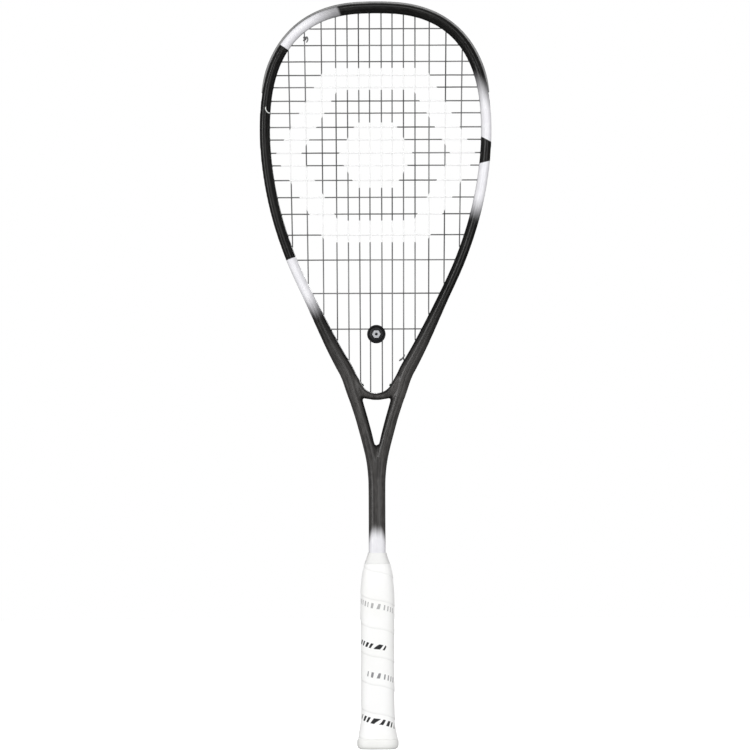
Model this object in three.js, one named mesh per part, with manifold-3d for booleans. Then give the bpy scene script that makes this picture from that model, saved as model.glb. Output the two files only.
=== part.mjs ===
// Squash racket: a hollow carbon hoop with a bridged throat, a moulded handle, grommet strips, two
// strings and a vibration damper that slides on the two middle main strings.
// Millimetres, +Z up. The origin is the centre of the butt's end face. The racket stands upright with its
// string plane in XZ and its front face towards -Y.
import * as THREE from 'three';
import { mergeVertices } from 'three/addons/utils/BufferGeometryUtils.js';
import Module from 'manifold-3d';

const wasm = await Module();
wasm.setup();

// Overall sizes
const LENGTH = 686; // butt face to the outside of the bumper
const HEAD_WIDTH = 213; // across the outside of the hoop
const HEAD_LENGTH = 359.5; // outside of the bumper to the top of the bridge
const WIDEST_DROP = 123; // outside of the bumper to the widest place of the hoop
const THROAT_LENGTH = 80.5; // top of the bridge to the place where the arms join the shaft
const THROAT_WIDTH = 42; // between the centres of the arms, at the top of the bridge
const HANDLE_LENGTH = 170; // butt face to the top of the grip tape
const CLEARANCE = 0.3; // between pieces that touch

// Hoop, arms and shaft
const CROWN_FACE = 9; // width of the tube seen from the front, at the crown
const SIDE_FACE = 9.5; // at the sides
const ARM_FACE = 14.6; // beside the bridge, with its blend
const ARM_FACE_LOW = 10.9; // in the throat
const CROWN_DEPTH = 18; // front to back
const ARM_DEPTH = 20;
const SHAFT_WIDTH = 15.4;
const SHAFT_DEPTH = 17;
const TUBE_WALL = 1.3;
const CUT_OVERRUN = 1; // a cutter reaches this far past the face that it opens
const CROWN_ROUNDNESS = 2.56; // exponent of the upper half of the hoop, 2 is an ellipse
const STATION_STEP = 15; // spacing of the hoop's sections
const WEB_ROUND = 2.7; // rounding of the throat's lower end, where a web joins the arms
const WEB_DEPTH = 13;

// String groove round the outside of the hoop
const GROOVE_DEPTH = 3.3;
const GROOVE_MOUTH = 7.6;
const GROOVE_FLOOR = 6.8;
const GROOVE_RUNOUT = 11; // length over which the groove fades out below the bridge

// Strings
const STRING_DIAMETER = 1.2;
const KNOT_RADIUS = 1.05;
const KNOT_LIFT = 0.5; // a knot sits this far outside its string's level, on the grommet's lip
const MOUTH_BEND = 1; // a string bends this far inside the barrel's mouth
const LOOP_CORNER = 0.6; // chamfer where a string turns from its hole into the groove
const MIDDLE_MAIN_GAP = 10.8; // between the two middle mains
const MAIN_PLACES_TOP = [0.16, 0.268, 0.378, 0.514, 0.673, 0.827]; // shares of the half opening
const MAIN_PLACES_LOW = [0.155, 0.262, 0.371, 0.5, 0.646, 0.794];
const CROSS_PLACES = [
  0.96, 0.916, 0.873, 0.837, 0.805, 0.769, 0.737, 0.7, 0.667,
  0.632, 0.599, 0.56, 0.515, 0.471, 0.416, 0.35, 0.262, 0.168,
]; // shares of the opening's height above the bridge
const HOLE_SIDES = 5;
const HOLE_PITCH = 6; // least spacing of two holes along the hoop

// Grommets and bumper
const BARREL_WALL = 0.6;
const BORE_CLEARANCE = 0.4; // between a string and its barrel
const BARREL_PROUD = 1; // how far a barrel shows inside the hoop
const STRIP_THICKNESS = 0.8;
const STRIP_GAP = 1; // between the ends of two strips
const STRIP_END = 6; // a side strip reaches this far past its last hole
const BUMPER_PROUD = 1.6; // how far the bumper stands outside the tube
const BUMPER_WIDTH = 12.6;
const BUMPER_CHANNEL_WALL = 0.6;
const BUMPER_DROP = 85; // height of the crown that the bumper covers

// Bridge
const BRIDGE_THICKNESS = 6.6;
const BRIDGE_DEPTH = 17;
const BRIDGE_EDGE = 1.5; // chamfer of its front and back edges
const BRIDGE_BOW = 2; // how much lower its underside is at the middle than at its ends
const BRIDGE_GROOVE = 2.2;
const ARCH_RISE = 16.5; // height of the arch's ends above its lowest place
const ARCH_FILL = 0.96; // arch radius as a share of the space between the arms there

// Handle
const GRIP_WIDTH = 31.6;
const GRIP_DEPTH = 27.4;
const TAPE_THICKNESS = 1.7;
const FLARE_WIDTH = 37.2; // at the foot of the grip tape
const FLARE_DEPTH = 33.2;
const FLARE_HEIGHT = 32; // where the flare has faded out
const CONE_HEIGHT = 30; // the grip's taper below the top of the tape
const CONE_WIDTH = 23.8; // at the top of the tape
const CONE_DEPTH = 23.8;
const COLLAR_LENGTH = 10; // finishing tape
const COLLAR_WALL = 0.7; // at its thin upper end
const LIP_WIDTH = 38.4; // butt cap
const LIP_DEPTH = 34.4;
const LIP_HEIGHT = 8.8;
const CAP_PLATE = 3;
const SKIRT_HEIGHT = 27;
const SKIRT_WALL = 1.4;
const PALLET_DROP = 4; // from the top of the tape to the top of the pallets
const SPLIT_GAP = 0.3; // between the two pallets
const GRIP_SQUARENESS = 3; // exponent of the grip's section, 2 is an ellipse
const STAPLE_HEIGHT = 18;
const STAPLE_SPAN = 8;
const STAPLE_WIRE = 0.6;
const STAPLE_REACH = 4.4;
const PLUG_LENGTH = 20; // foam plugs in the open ends of the tube

// Vibration damper
const DAMPER_DIAMETER = 17;
const DAMPER_BACK_DIAMETER = 14;
const DAMPER_FLANGE = 2.65;
const DAMPER_BACK_FLANGE = 2;
const DAMPER_WAIST_HEIGHT = 7.2;
const DAMPER_RIM = 1.9;
const DAMPER_RECESS = 1;
const BADGE_THICKNESS = 0.5;

// Heights and half sizes that follow from them
const stringRadius = STRING_DIAMETER / 2;
const boreRadius = stringRadius + BORE_CLEARANCE;
const barrelRadius = boreRadius + BARREL_WALL;
const stringOffset = (STRING_DIAMETER + CLEARANCE) / 2; // mains lie in front of the crosses by this
const crownZ = LENGTH - BUMPER_PROUD - CROWN_FACE / 2;
const widestZ = LENGTH - WIDEST_DROP;
const bridgeZ = LENGTH - HEAD_LENGTH;
const shaftTopZ = bridgeZ - THROAT_LENGTH;
const headHalf = (HEAD_WIDTH - SIDE_FACE) / 2;
const legX = SHAFT_WIDTH / 4;
const tubeFootZ = CAP_PLATE + CLEARANCE;
const levelOfString = STRIP_THICKNESS + 2 * CLEARANCE + stringRadius; // above the groove's floor

const materials = {
  carbon: { color: 0x2b2b2a, roughness: 0.35, metalness: 0.1 },
  bumper: { color: 0x4a4a49, roughness: 0.6, metalness: 0 },
  grommet: { color: 0x171a18, roughness: 0.55, metalness: 0 },
  string: { color: 0xb9b9b6, roughness: 0.4, metalness: 0 },
  foam: { color: 0xd8c9a3, roughness: 0.9, metalness: 0 },
  pallet: { color: 0x8b8b86, roughness: 0.8, metalness: 0 },
  cap: { color: 0xe4e2da, roughness: 0.5, metalness: 0 },
  steel: { color: 0xb4b6b8, roughness: 0.35, metalness: 0.9 },
  grip: { color: 0xe9e6dd, roughness: 0.75, metalness: 0 },
  finishing: { color: 0xdedcd4, roughness: 0.55, metalness: 0 },
  rubber: { color: 0x161616, roughness: 0.7, metalness: 0 },
  badge: { color: 0x4d4d4f, roughness: 0.5, metalness: 0 },
};

// ---- Solids -------------------------------------------------------------------------------------------

function solidOf(geometry) {
  const bare = geometry.index ? geometry.toNonIndexed() : geometry.clone();
  bare.deleteAttribute('normal');
  bare.deleteAttribute('uv');
  const merged = mergeVertices(bare, 1e-4);
  return new wasm.Manifold(new wasm.Mesh({
    numProp: 3,
    vertProperties: new Float32Array(merged.attributes.position.array),
    triVerts: new Uint32Array(merged.index.array),
  }));
}

function geometryOf(solid) {
  const mesh = solid.getMesh();
  const geometry = new THREE.BufferGeometry();
  geometry.setAttribute('position', new THREE.BufferAttribute(new Float32Array(mesh.vertProperties), 3));
  geometry.setIndex(new THREE.BufferAttribute(new Uint32Array(mesh.triVerts), 1));
  return geometry;
}

function joinAll(solids) {
  return solids.reduce((whole, piece) => whole.add(piece));
}

function cutAll(solid, cutters) {
  return cutters.length ? solid.subtract(joinAll(cutters)) : solid;
}

function boxSolid(low, high) {
  const size = high.clone().sub(low);
  const geometry = new THREE.BoxGeometry(size.x, size.y, size.z);
  geometry.translate((low.x + high.x) / 2, (low.y + high.y) / 2, (low.z + high.z) / 2);
  return solidOf(geometry);
}

// A rod with its axis from one point to another.
function rodSolid(from, to, radius) {
  const axis = to.clone().sub(from);
  const geometry = new THREE.CylinderGeometry(radius, radius, axis.length(), HOLE_SIDES);
  const turn = new THREE.Quaternion().setFromUnitVectors(new THREE.Vector3(0, 1, 0), axis.normalize());
  geometry.applyQuaternion(turn);
  const middle = from.clone().add(to).multiplyScalar(0.5);
  geometry.translate(middle.x, middle.y, middle.z);
  return solidOf(geometry);
}

// A closed skin through rings of points, all with the same number of points, with flat ends.
// The rings run anticlockwise seen from the far end.
function loft(rings) {
  const count = rings[0].length;
  const positions = rings.flat().flatMap((point) => [point.x, point.y, point.z]);
  const indices = [];
  for (let row = 0; row < rings.length - 1; row += 1) {
    for (let place = 0; place < count; place += 1) {
      const next = (place + 1) % count;
      const a = row * count + place;
      const b = row * count + next;
      indices.push(a, b, b + count, a, b + count, a + count);
    }
  }
  const last = (rings.length - 1) * count;
  for (const [i, j, k] of capTriangles(rings[0])) indices.push(i, k, j);
  for (const [i, j, k] of capTriangles(rings[rings.length - 1])) indices.push(last + i, last + j, last + k);
  const geometry = new THREE.BufferGeometry();
  geometry.setAttribute('position', new THREE.Float32BufferAttribute(positions, 3));
  geometry.setIndex(indices);
  return geometry;
}

// Triangles that fill a flat ring, anticlockwise in the ring's own sense.
function capTriangles(ring) {
  const across = ring[1].clone().sub(ring[0]).normalize();
  const normal = new THREE.Vector3();
  ring.forEach((point, place) => {
    const next = ring[(place + 1) % ring.length];
    normal.add(point.clone().sub(ring[0]).cross(next.clone().sub(ring[0])));
  });
  const up = normal.normalize().clone().cross(across);
  const flat = ring.map((point) => {
    const offset = point.clone().sub(ring[0]);
    return new THREE.Vector2(offset.dot(across), offset.dot(up));
  });
  return THREE.ShapeUtils.triangulateShape(flat, []);
}

function solidLoft(rings) {
  const solid = solidOf(loft(rings));
  return solid.volume() > 0 ? solid : solidOf(loft(rings.map((ring) => [...ring].reverse())));
}

// ---- Centre line of the tube --------------------------------------------------------------------------

const mix = THREE.MathUtils.lerp;

// Value between the nearest two rows of [place, value], held beyond the ends.
function between(rows, place) {
  const after = rows.findIndex((row) => row[0] >= place);
  if (after === 0) return rows[0][1];
  if (after < 0) return rows[rows.length - 1][1];
  const [low, high] = [rows[after - 1], rows[after]];
  return mix(low[1], high[1], (place - low[0]) / (high[0] - low[0]));
}

function faceWidth(z) {
  return between([
    [shaftTopZ, SHAFT_WIDTH / 2],
    [shaftTopZ + 0.2 * THROAT_LENGTH, mix(SHAFT_WIDTH / 2, ARM_FACE_LOW, 0.3)],
    [shaftTopZ + 0.38 * THROAT_LENGTH, ARM_FACE_LOW],
    [bridgeZ - 9, ARM_FACE_LOW],
    [bridgeZ + 15, ARM_FACE],
    [bridgeZ + 45, mix(ARM_FACE, SIDE_FACE, 0.42)],
    [bridgeZ + 73, mix(ARM_FACE, SIDE_FACE, 0.8)],
    [bridgeZ + 90, SIDE_FACE],
    [widestZ, SIDE_FACE],
    [crownZ, CROWN_FACE],
  ], z);
}

function tubeDepth(z) {
  return between([
    [shaftTopZ, SHAFT_DEPTH],
    [shaftTopZ + 0.5 * THROAT_LENGTH, ARM_DEPTH],
    [bridgeZ + 45, ARM_DEPTH],
    [crownZ, CROWN_DEPTH],
  ], z);
}

function grooveDepth(z) {
  return between([[bridgeZ - GROOVE_RUNOUT, 0], [bridgeZ, GROOVE_DEPTH]], z);
}

// 1 where the two legs are one shaft, 0 in the hoop.
function shaftShare(z) {
  return between([[shaftTopZ, 1], [bridgeZ, 0]], z);
}

// The right half of the tube's centre line, from the foot of the shaft to the crown.
function rightHalf() {
  const armX = THROAT_WIDTH / 2;
  const points = [[legX, tubeFootZ], [legX, shaftTopZ - 40], [legX, shaftTopZ]];
  for (const [across, up] of [[0.115, 0.298], [0.53, 0.671]]) {
    points.push([mix(legX, armX, across), mix(shaftTopZ, bridgeZ, up)]);
  }
  points.push([armX, bridgeZ]);
  const flank = [
    [0.062, 0.07], [0.154, 0.129], [0.24, 0.184], [0.48, 0.353], [0.706, 0.522], [0.87, 0.691],
    [0.964, 0.852],
  ];
  for (const [across, up] of flank) {
    points.push([mix(armX, headHalf, across), mix(bridgeZ, widestZ, up)]);
  }
  const quarterSteps = 9;
  for (let step = 0; step <= quarterSteps; step += 1) {
    const angle = (step / quarterSteps) * (Math.PI / 2);
    const x = headHalf * Math.cos(angle) ** (2 / CROWN_ROUNDNESS);
    const z = widestZ + (crownZ - widestZ) * Math.sin(angle) ** (2 / CROWN_ROUNDNESS);
    points.push([step === quarterSteps ? 0 : x, z]);
  }
  return points.map(([x, z]) => new THREE.Vector3(x, 0, z));
}

// Sections of the whole tube, from the left foot over the crown to the right foot. Every piece that
// follows the hoop takes its place from these, so neighbours share the same facets.
function tubeStations() {
  const right = rightHalf();
  const left = right.slice(0, -1).map((point) => new THREE.Vector3(-point.x, 0, point.z));
  const curve = new THREE.CatmullRomCurve3([...left, ...right.reverse()], false, 'centripetal');
  curve.arcLengthDivisions = 600;
  const total = curve.getLength();
  const legLength = shaftTopZ - tubeFootZ;
  const steps = 2 * Math.round((total - 2 * legLength) / STATION_STEP / 2);
  const stops = [0, legLength / 2];
  for (let step = 0; step <= steps; step += 1) stops.push(mix(legLength, total - legLength, step / steps));
  stops.push(total - legLength / 2, total);
  return stops.map((stop) => {
    const point = curve.getPointAt(stop / total);
    const tangent = curve.getTangentAt(stop / total);
    const onLeg = stop <= legLength || stop >= total - legLength;
    const outward = onLeg
      ? new THREE.Vector3(Math.sign(point.x), 0, 0)
      : new THREE.Vector3(-tangent.z, 0, tangent.x).normalize();
    return {
      stop,
      point: new THREE.Vector3(onLeg ? Math.sign(point.x) * legX : point.x, 0, point.z),
      outward,
      halfFace: faceWidth(point.z) / 2,
      halfDepth: tubeDepth(point.z) / 2,
      groove: grooveDepth(point.z),
      shaft: shaftShare(point.z),
    };
  });
}

const stations = tubeStations();
const tubeLength = stations[stations.length - 1].stop;

// The section at a distance along the tube, straight between its neighbours.
function stationAt(stop) {
  const after = Math.max(1, stations.findIndex((station) => station.stop >= stop));
  const [low, high] = [stations[after - 1], stations[after]];
  const share = (stop - low.stop) / (high.stop - low.stop);
  return {
    stop,
    point: low.point.clone().lerp(high.point, share),
    outward: low.outward.clone().lerp(high.outward, share),
    halfFace: mix(low.halfFace, high.halfFace, share),
    halfDepth: mix(low.halfDepth, high.halfDepth, share),
    groove: mix(low.groove, high.groove, share),
    shaft: mix(low.shaft, high.shaft, share),
  };
}

function place(station, out, y) {
  const point = station.point.clone().addScaledVector(station.outward, out);
  return new THREE.Vector3(point.x, y, point.z);
}

function ringAt(station, half) {
  const back = half.map(([out, y]) => place(station, out, y));
  const front = half.map(([out, y]) => place(station, out, -y)).reverse();
  return [...back, ...front];
}

function stationsBetween(from, to) {
  const inside = stations.filter((station) => station.stop > from + 1 && station.stop < to - 1);
  return [stationAt(from), ...inside, stationAt(to)];
}

// Distance along the tube where its inner edge crosses x = value or z = value, nearest to a side.
function stopWhere(axis, value, fits) {
  for (let row = 1; row < stations.length; row += 1) {
    const [low, high] = [stations[row - 1], stations[row]];
    const edges = [low, high].map((station) => place(station, -station.halfFace - BARREL_PROUD, 0));
    const share = (value - edges[0][axis]) / (edges[1][axis] - edges[0][axis]);
    const stop = mix(low.stop, high.stop, share);
    if (share >= 0 && share < 1 && fits(stationAt(stop))) return stop;
  }
  throw new Error(`the inner edge of the hoop never reaches ${axis} = ${value}`);
}

// Half of the clear space between the arms at a height.
function halfGapAt(z) {
  const stop = stopWhere('z', z, (station) => station.point.x > 0 && station.point.z < widestZ);
  const station = stationAt(stop);
  return place(station, -station.halfFace, 0).x;
}

// ---- Frame --------------------------------------------------------------------------------------------

function tubeRing(station, growth = 0) {
  const a = station.halfFace + growth;
  const b = station.halfDepth + growth;
  const depth = growth > 0 ? 0 : station.groove;
  const hoop = [
    [a - depth, GROOVE_FLOOR / 2], [a, GROOVE_MOUTH / 2], [a, 0.58 * b], [0.74 * a, 0.86 * b],
    [0.34 * a, b], [-0.45 * a, 0.89 * b], [-0.85 * a, 0.66 * b], [-a, 0.4 * b],
  ];
  const shaft = [
    [a, 0.3 * b], [a, 0.42 * b], [0.85 * a, 0.62 * b], [0.5 * a, 0.81 * b],
    [0.1 * a, 0.96 * b], [-0.4 * a, b], [-0.7 * a, b], [-a - 0.05, b],
  ];
  const half = hoop.map(([out, y], row) => [
    mix(out, shaft[row][0], station.shaft), mix(y, shaft[row][1], station.shaft),
  ]);
  return ringAt(station, half);
}

function hollowRing(station, inset = 0) {
  const a = station.halfFace - inset;
  const b = station.halfDepth - inset;
  const outer = a - station.groove - TUBE_WALL;
  const hoop = [
    [outer, 0.5 * b], [outer, b - 1.8], [-0.45 * a, 0.89 * b - 1.6], [-a + TUBE_WALL, 0.42 * b],
  ];
  const shaft = [
    [outer, 0.38 * b], [0.2 * a, 0.92 * b - TUBE_WALL], [-0.4 * a, b - TUBE_WALL],
    [-a + TUBE_WALL, b - TUBE_WALL],
  ];
  const half = hoop.map(([out, y], row) => [
    mix(out, shaft[row][0], station.shaft), mix(y, shaft[row][1], station.shaft),
  ]);
  return ringAt(station, half);
}

// The tube drawn out a little past both its ends, for a cut that opens them.
function openStations() {
  return stations.map((station, row) => {
    if (row > 0 && row < stations.length - 1) return station;
    return { ...station, point: station.point.clone().setZ(station.point.z - CUT_OVERRUN) };
  });
}

// ---- String holes -------------------------------------------------------------------------------------

const openingHalf = headHalf - SIDE_FACE / 2;
const openingTop = crownZ - CROWN_FACE / 2;
const archRadius = ARCH_FILL * halfGapAt(bridgeZ + ARCH_RISE);
const archCentreZ = bridgeZ + archRadius;

const undersideHalf = halfGapAt(bridgeZ - BRIDGE_THICKNESS);
const bridgeStripHalf = undersideHalf - 4 * CLEARANCE;
const bridgeMouthX = halfGapAt(bridgeZ + ARCH_RISE / 2) - barrelRadius - CLEARANCE;
const bridgeExitX = bridgeStripHalf - barrelRadius - CLEARANCE; // the outer holes lean in to reach it

const mainTops = [MIDDLE_MAIN_GAP / 2, ...MAIN_PLACES_TOP.map((share) => share * openingHalf)];
const mainFeet = [MIDDLE_MAIN_GAP / 2, ...MAIN_PLACES_LOW.map((share) => share * openingHalf)];
const crossHeights = CROSS_PLACES.map((share) => mix(bridgeZ, openingTop, share));

// A hole in the hoop, square to the tube. lane is the string's place front to back.
function hoopHole(name, axis, value, lane, fits) {
  return { name, lane, stop: stopWhere(axis, value, fits) };
}

// A hole through the bridge, from the arch to the bridge's underside.
function bridgeHole(name, side, row) {
  const x = row === 0 ? MIDDLE_MAIN_GAP / 2 : bridgeMouthX;
  const lowX = row === 0 ? x : bridgeExitX;
  const archZ = archCentreZ - Math.sqrt(archRadius ** 2 - x ** 2);
  const mouth = new THREE.Vector3(side * x, -stringOffset, archZ + BARREL_PROUD);
  const underside = bridgeUndersideZ(lowX) + BRIDGE_GROOVE;
  const floor = new THREE.Vector3(side * lowX, -stringOffset, underside);
  return { name, lane: -stringOffset, mouth, floor, outward: floor.clone().sub(mouth).normalize() };
}

function bridgeUndersideZ(x) {
  return bridgeZ - BRIDGE_THICKNESS + BRIDGE_BOW * (x / undersideHalf) ** 2;
}

function allHoles() {
  const holes = {};
  for (const side of [-1, 1]) {
    const onSide = (station) => Math.sign(station.point.x) === side;
    const onTop = (station) => onSide(station) && station.point.z > widestZ;
    const onFlank = (station) => onSide(station) && station.point.z < widestZ;
    mainTops.forEach((x, row) => {
      holes[`main_top_${side * (row + 1)}`] = hoopHole('main', 'x', side * x, -stringOffset, onTop);
    });
    mainFeet.forEach((x, row) => {
      holes[`main_foot_${side * (row + 1)}`] = row < 2
        ? bridgeHole('main', side, row)
        : hoopHole('main', 'x', side * x, -stringOffset, onFlank);
    });
    crossHeights.forEach((z, row) => {
      holes[`cross_${side * (row + 1)}`] = hoopHole('cross', 'z', z, stringOffset, onSide);
    });
  }
  spreadOut(Object.values(holes).filter((hole) => hole.stop !== undefined));
  return holes;
}

// Moves holes that are too close along the hoop apart, a little at a time.
function spreadOut(holes) {
  const sorted = [...holes].sort((first, second) => first.stop - second.stop);
  for (let round = 0; round < 40; round += 1) {
    for (let row = 1; row < sorted.length; row += 1) {
      const short = HOLE_PITCH - (sorted[row].stop - sorted[row - 1].stop);
      if (short > 0) {
        sorted[row].stop += short / 2;
        sorted[row - 1].stop -= short / 2;
      }
    }
  }
  for (const hole of sorted) {
    const station = stationAt(hole.stop);
    hole.outward = station.outward.clone().normalize();
    hole.mouth = place(station, -station.halfFace - BARREL_PROUD, hole.lane);
    hole.floor = place(station, station.halfFace - station.groove, hole.lane);
  }
}

const holes = allHoles();
const hoopHoles = Object.values(holes).filter((hole) => hole.stop !== undefined);
const bridgeHoles = Object.values(holes).filter((hole) => hole.stop === undefined);

// The point of a hole's axis at a height above the groove's floor.
function above(hole, height) {
  return hole.floor.clone().addScaledVector(hole.outward, height);
}

function drilling(hole) {
  const start = hole.mouth.clone().addScaledVector(hole.outward, -2 * CUT_OVERRUN);
  return rodSolid(start, above(hole, 1.5), barrelRadius + CLEARANCE);
}

function barrel(hole) {
  return rodSolid(hole.mouth, above(hole, CLEARANCE + STRIP_THICKNESS / 2), barrelRadius);
}

function bore(hole) {
  const start = hole.mouth.clone().addScaledVector(hole.outward, -CUT_OVERRUN);
  return rodSolid(start, above(hole, CLEARANCE + STRIP_THICKNESS + CUT_OVERRUN), boreRadius);
}

// The outside of the tube. Its two legs meet in the shaft, so each half is made by itself and joined.
function tubeSkin(growth = 0) {
  const crown = (stations.length - 1) / 2;
  const halves = [stations.slice(0, crown + 1), stations.slice(crown)];
  return joinAll(halves.map((half) => solidLoft(half.map((station) => tubeRing(station, growth)))));
}

// The web between the arms, which closes the sharp lower end of the throat with a rounded top.
function throatWeb() {
  let top = bridgeZ - BRIDGE_THICKNESS;
  while (halfGapAt(top) > WEB_ROUND) top -= CLEARANCE;
  const outline = new THREE.Shape();
  outline.moveTo(-legX, shaftTopZ);
  outline.lineTo(legX, shaftTopZ);
  outline.lineTo(2 * WEB_ROUND, top);
  outline.lineTo(WEB_ROUND, top);
  outline.absarc(0, top, WEB_ROUND, 0, Math.PI, true);
  outline.lineTo(-2 * WEB_ROUND, top);
  outline.closePath();
  const deep = { depth: WEB_DEPTH, bevelEnabled: false, curveSegments: 8 };
  const slab = new THREE.ExtrudeGeometry(outline, deep);
  slab.rotateX(Math.PI / 2);
  slab.translate(0, WEB_DEPTH / 2, 0);
  return solidOf(slab);
}

function frameTube() {
  const skin = tubeSkin().add(throatWeb());
  const hollow = solidLoft(openStations().map((station) => hollowRing(station)));
  return cutAll(skin.subtract(hollow), hoopHoles.map(drilling));
}

function legPlug(side) {
  const foot = side < 0 ? stations[0] : stations[stations.length - 1];
  const rings = [0.5, PLUG_LENGTH].map((rise) => {
    const point = foot.point.clone().setZ(foot.point.z + rise);
    return hollowRing({ ...foot, point }, CLEARANCE);
  });
  return solidLoft(rings);
}

// ---- Bridge -------------------------------------------------------------------------------------------

function bridge() {
  const topZ = bridgeZ + 0.82 * ARCH_RISE;
  const lowX = THROAT_WIDTH / 2 - 1.5;
  const outline = new THREE.Shape();
  const undersideSteps = 12;
  for (let step = 0; step <= undersideSteps; step += 1) {
    const x = mix(-lowX, lowX, step / undersideSteps);
    if (step === 0) outline.moveTo(x, bridgeUndersideZ(x));
    else outline.lineTo(x, bridgeUndersideZ(x));
  }
  outline.lineTo(THROAT_WIDTH / 2 + 3, topZ);
  const reach = Math.acos((archCentreZ - topZ) / archRadius);
  outline.absarc(0, archCentreZ, archRadius, -Math.PI / 2 + reach, -Math.PI / 2 - reach, true);
  outline.lineTo(-THROAT_WIDTH / 2 - 3, topZ);
  outline.closePath();
  const slab = new THREE.ExtrudeGeometry(outline, {
    depth: BRIDGE_DEPTH - 2 * BRIDGE_EDGE, bevelEnabled: true, bevelThickness: BRIDGE_EDGE, bevelSize: 1,
    bevelOffset: -1,
    bevelSegments: 1, curveSegments: undersideSteps,
  });
  slab.rotateX(Math.PI / 2);
  slab.translate(0, BRIDGE_DEPTH / 2 - BRIDGE_EDGE, 0);
  const arms = tubeSkin(CLEARANCE);
  const groove = solidLoft(bridgeStations().map((spot) => spot.ring(-1, BRIDGE_GROOVE, GROOVE_FLOOR)));
  return cutAll(solidOf(slab), [arms, groove, ...bridgeHoles.map(drilling)]);
}

// Sections along the bridge's underside, for its groove and grommet strip. A ring reaches between two
// depths above the underside.
function bridgeStations(endMargin = 0) {
  const reach = bridgeStripHalf + 2 * CLEARANCE - endMargin;
  const steps = 8;
  return Array.from({ length: steps + 1 }, (unused, step) => {
    const x = mix(-reach, reach, step / steps);
    const z = bridgeUndersideZ(x);
    const ring = (low, high, width) => [
      new THREE.Vector3(x, -width / 2, z + low), new THREE.Vector3(x, width / 2, z + low),
      new THREE.Vector3(x, width / 2, z + high), new THREE.Vector3(x, -width / 2, z + high),
    ];
    return { ring };
  });
}

// ---- Grommet strips and bumper ------------------------------------------------------------------------

const bumperFoot = stopWhere('z', LENGTH - BUMPER_DROP, (station) => station.point.x < 0);
const stripFoot = Math.min(...hoopHoles.map((hole) => hole.stop)) - STRIP_END;

function stripRing(station) {
  const floor = station.halfFace - station.groove + CLEARANCE;
  const half = GROOVE_FLOOR / 2 - CLEARANCE;
  return ringAt(station, [[floor + STRIP_THICKNESS, half], [floor, half]]);
}

function bumperRing(station) {
  const top = station.halfFace + BUMPER_PROUD;
  const face = station.halfFace + CLEARANCE;
  const floor = station.halfFace - station.groove + CLEARANCE;
  const channel = GROOVE_FLOOR / 2 - CLEARANCE - BUMPER_CHANNEL_WALL;
  return ringAt(station, [
    [floor + STRIP_THICKNESS, channel], [top, channel + 0.2], [top, BUMPER_WIDTH / 2 - 1],
    [top - 0.5, BUMPER_WIDTH / 2], [face, BUMPER_WIDTH / 2], [face, GROOVE_MOUTH / 2 - CLEARANCE],
    [floor, GROOVE_FLOOR / 2 - CLEARANCE],
  ]);
}

function withBarrels(strip, someHoles) {
  return cutAll(joinAll([strip, ...someHoles.map(barrel)]), someHoles.map(bore));
}

function bumperGuard() {
  const [from, to] = [bumperFoot, tubeLength - bumperFoot];
  const strip = solidLoft(stationsBetween(from, to).map(bumperRing));
  return withBarrels(strip, hoopHoles.filter((hole) => hole.stop > from && hole.stop < to));
}

function sideStrip(side) {
  const reach = [stripFoot, bumperFoot - STRIP_GAP];
  const [from, to] = side < 0 ? reach : [tubeLength - reach[1], tubeLength - reach[0]];
  const strip = solidLoft(stationsBetween(from, to).map(stripRing));
  return withBarrels(strip, hoopHoles.filter((hole) => hole.stop > from && hole.stop < to));
}

function bridgeStrip() {
  const top = BRIDGE_GROOVE - CLEARANCE;
  const low = top - STRIP_THICKNESS;
  const width = GROOVE_FLOOR - 2 * CLEARANCE;
  const strip = solidLoft(bridgeStations(2 * CLEARANCE).map((spot) => spot.ring(low, top, width)));
  return withBarrels(strip, bridgeHoles);
}

// ---- Strings ------------------------------------------------------------------------------------------

// A path made of straight pieces, whose steps land on its points.
class StringPath extends THREE.Curve {
  constructor(points) {
    super();
    this.points = points;
  }

  getPoint(share, target = new THREE.Vector3()) {
    const along = THREE.MathUtils.clamp(share, 0, 1) * (this.points.length - 1);
    const row = Math.min(Math.floor(along), this.points.length - 2);
    return target.copy(this.points[row]).lerp(this.points[row + 1], along - row);
  }

  getUtoTmapping(share) {
    return share;
  }
}

function stringSolid(points) {
  const section = new THREE.Shape();
  for (let corner = 0; corner < 6; corner += 1) {
    const angle = (corner * Math.PI) / 3;
    const [x, y] = [stringRadius * Math.cos(angle), stringRadius * Math.sin(angle)];
    if (corner === 0) section.moveTo(x, y);
    else section.lineTo(x, y);
  }
  section.closePath();
  return solidOf(new THREE.ExtrudeGeometry(section, {
    steps: points.length - 1, extrudePath: new StringPath(points), bevelEnabled: false,
  }));
}

// Points of the string between two neighbouring holes, round the outside of the hoop or bridge.
function loopBetween(first, second) {
  const passed = stations.filter((station) => (
    (station.stop - first.stop) * (station.stop - second.stop) < -STRING_DIAMETER
  ));
  if (second.stop < first.stop) passed.reverse();
  const middle = passed.map((station) => (
    place(station, station.halfFace - station.groove + levelOfString, first.lane)
  ));
  const [from, to] = [above(first, levelOfString), above(second, levelOfString)];
  const towards = (point, goal) => point.clone().add(goal.clone().sub(point).setLength(LOOP_CORNER));
  const [ahead, behind] = [middle[0] ?? to, middle[middle.length - 1] ?? from];
  return [
    above(first, levelOfString - LOOP_CORNER), towards(from, ahead),
    ...middle,
    towards(to, behind), above(second, levelOfString - LOOP_CORNER),
  ];
}

function mouthPoint(hole) {
  return hole.mouth.clone().addScaledVector(hole.outward, -MOUTH_BEND);
}

function knotAt(hole) {
  const ball = new THREE.IcosahedronGeometry(KNOT_RADIUS, 0);
  const middle = above(hole, levelOfString + KNOT_LIFT);
  const aside = Math.sign(hole.lane) * (KNOT_RADIUS + CLEARANCE / 2);
  ball.translate(middle.x, aside, middle.z);
  return solidOf(ball);
}

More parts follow.
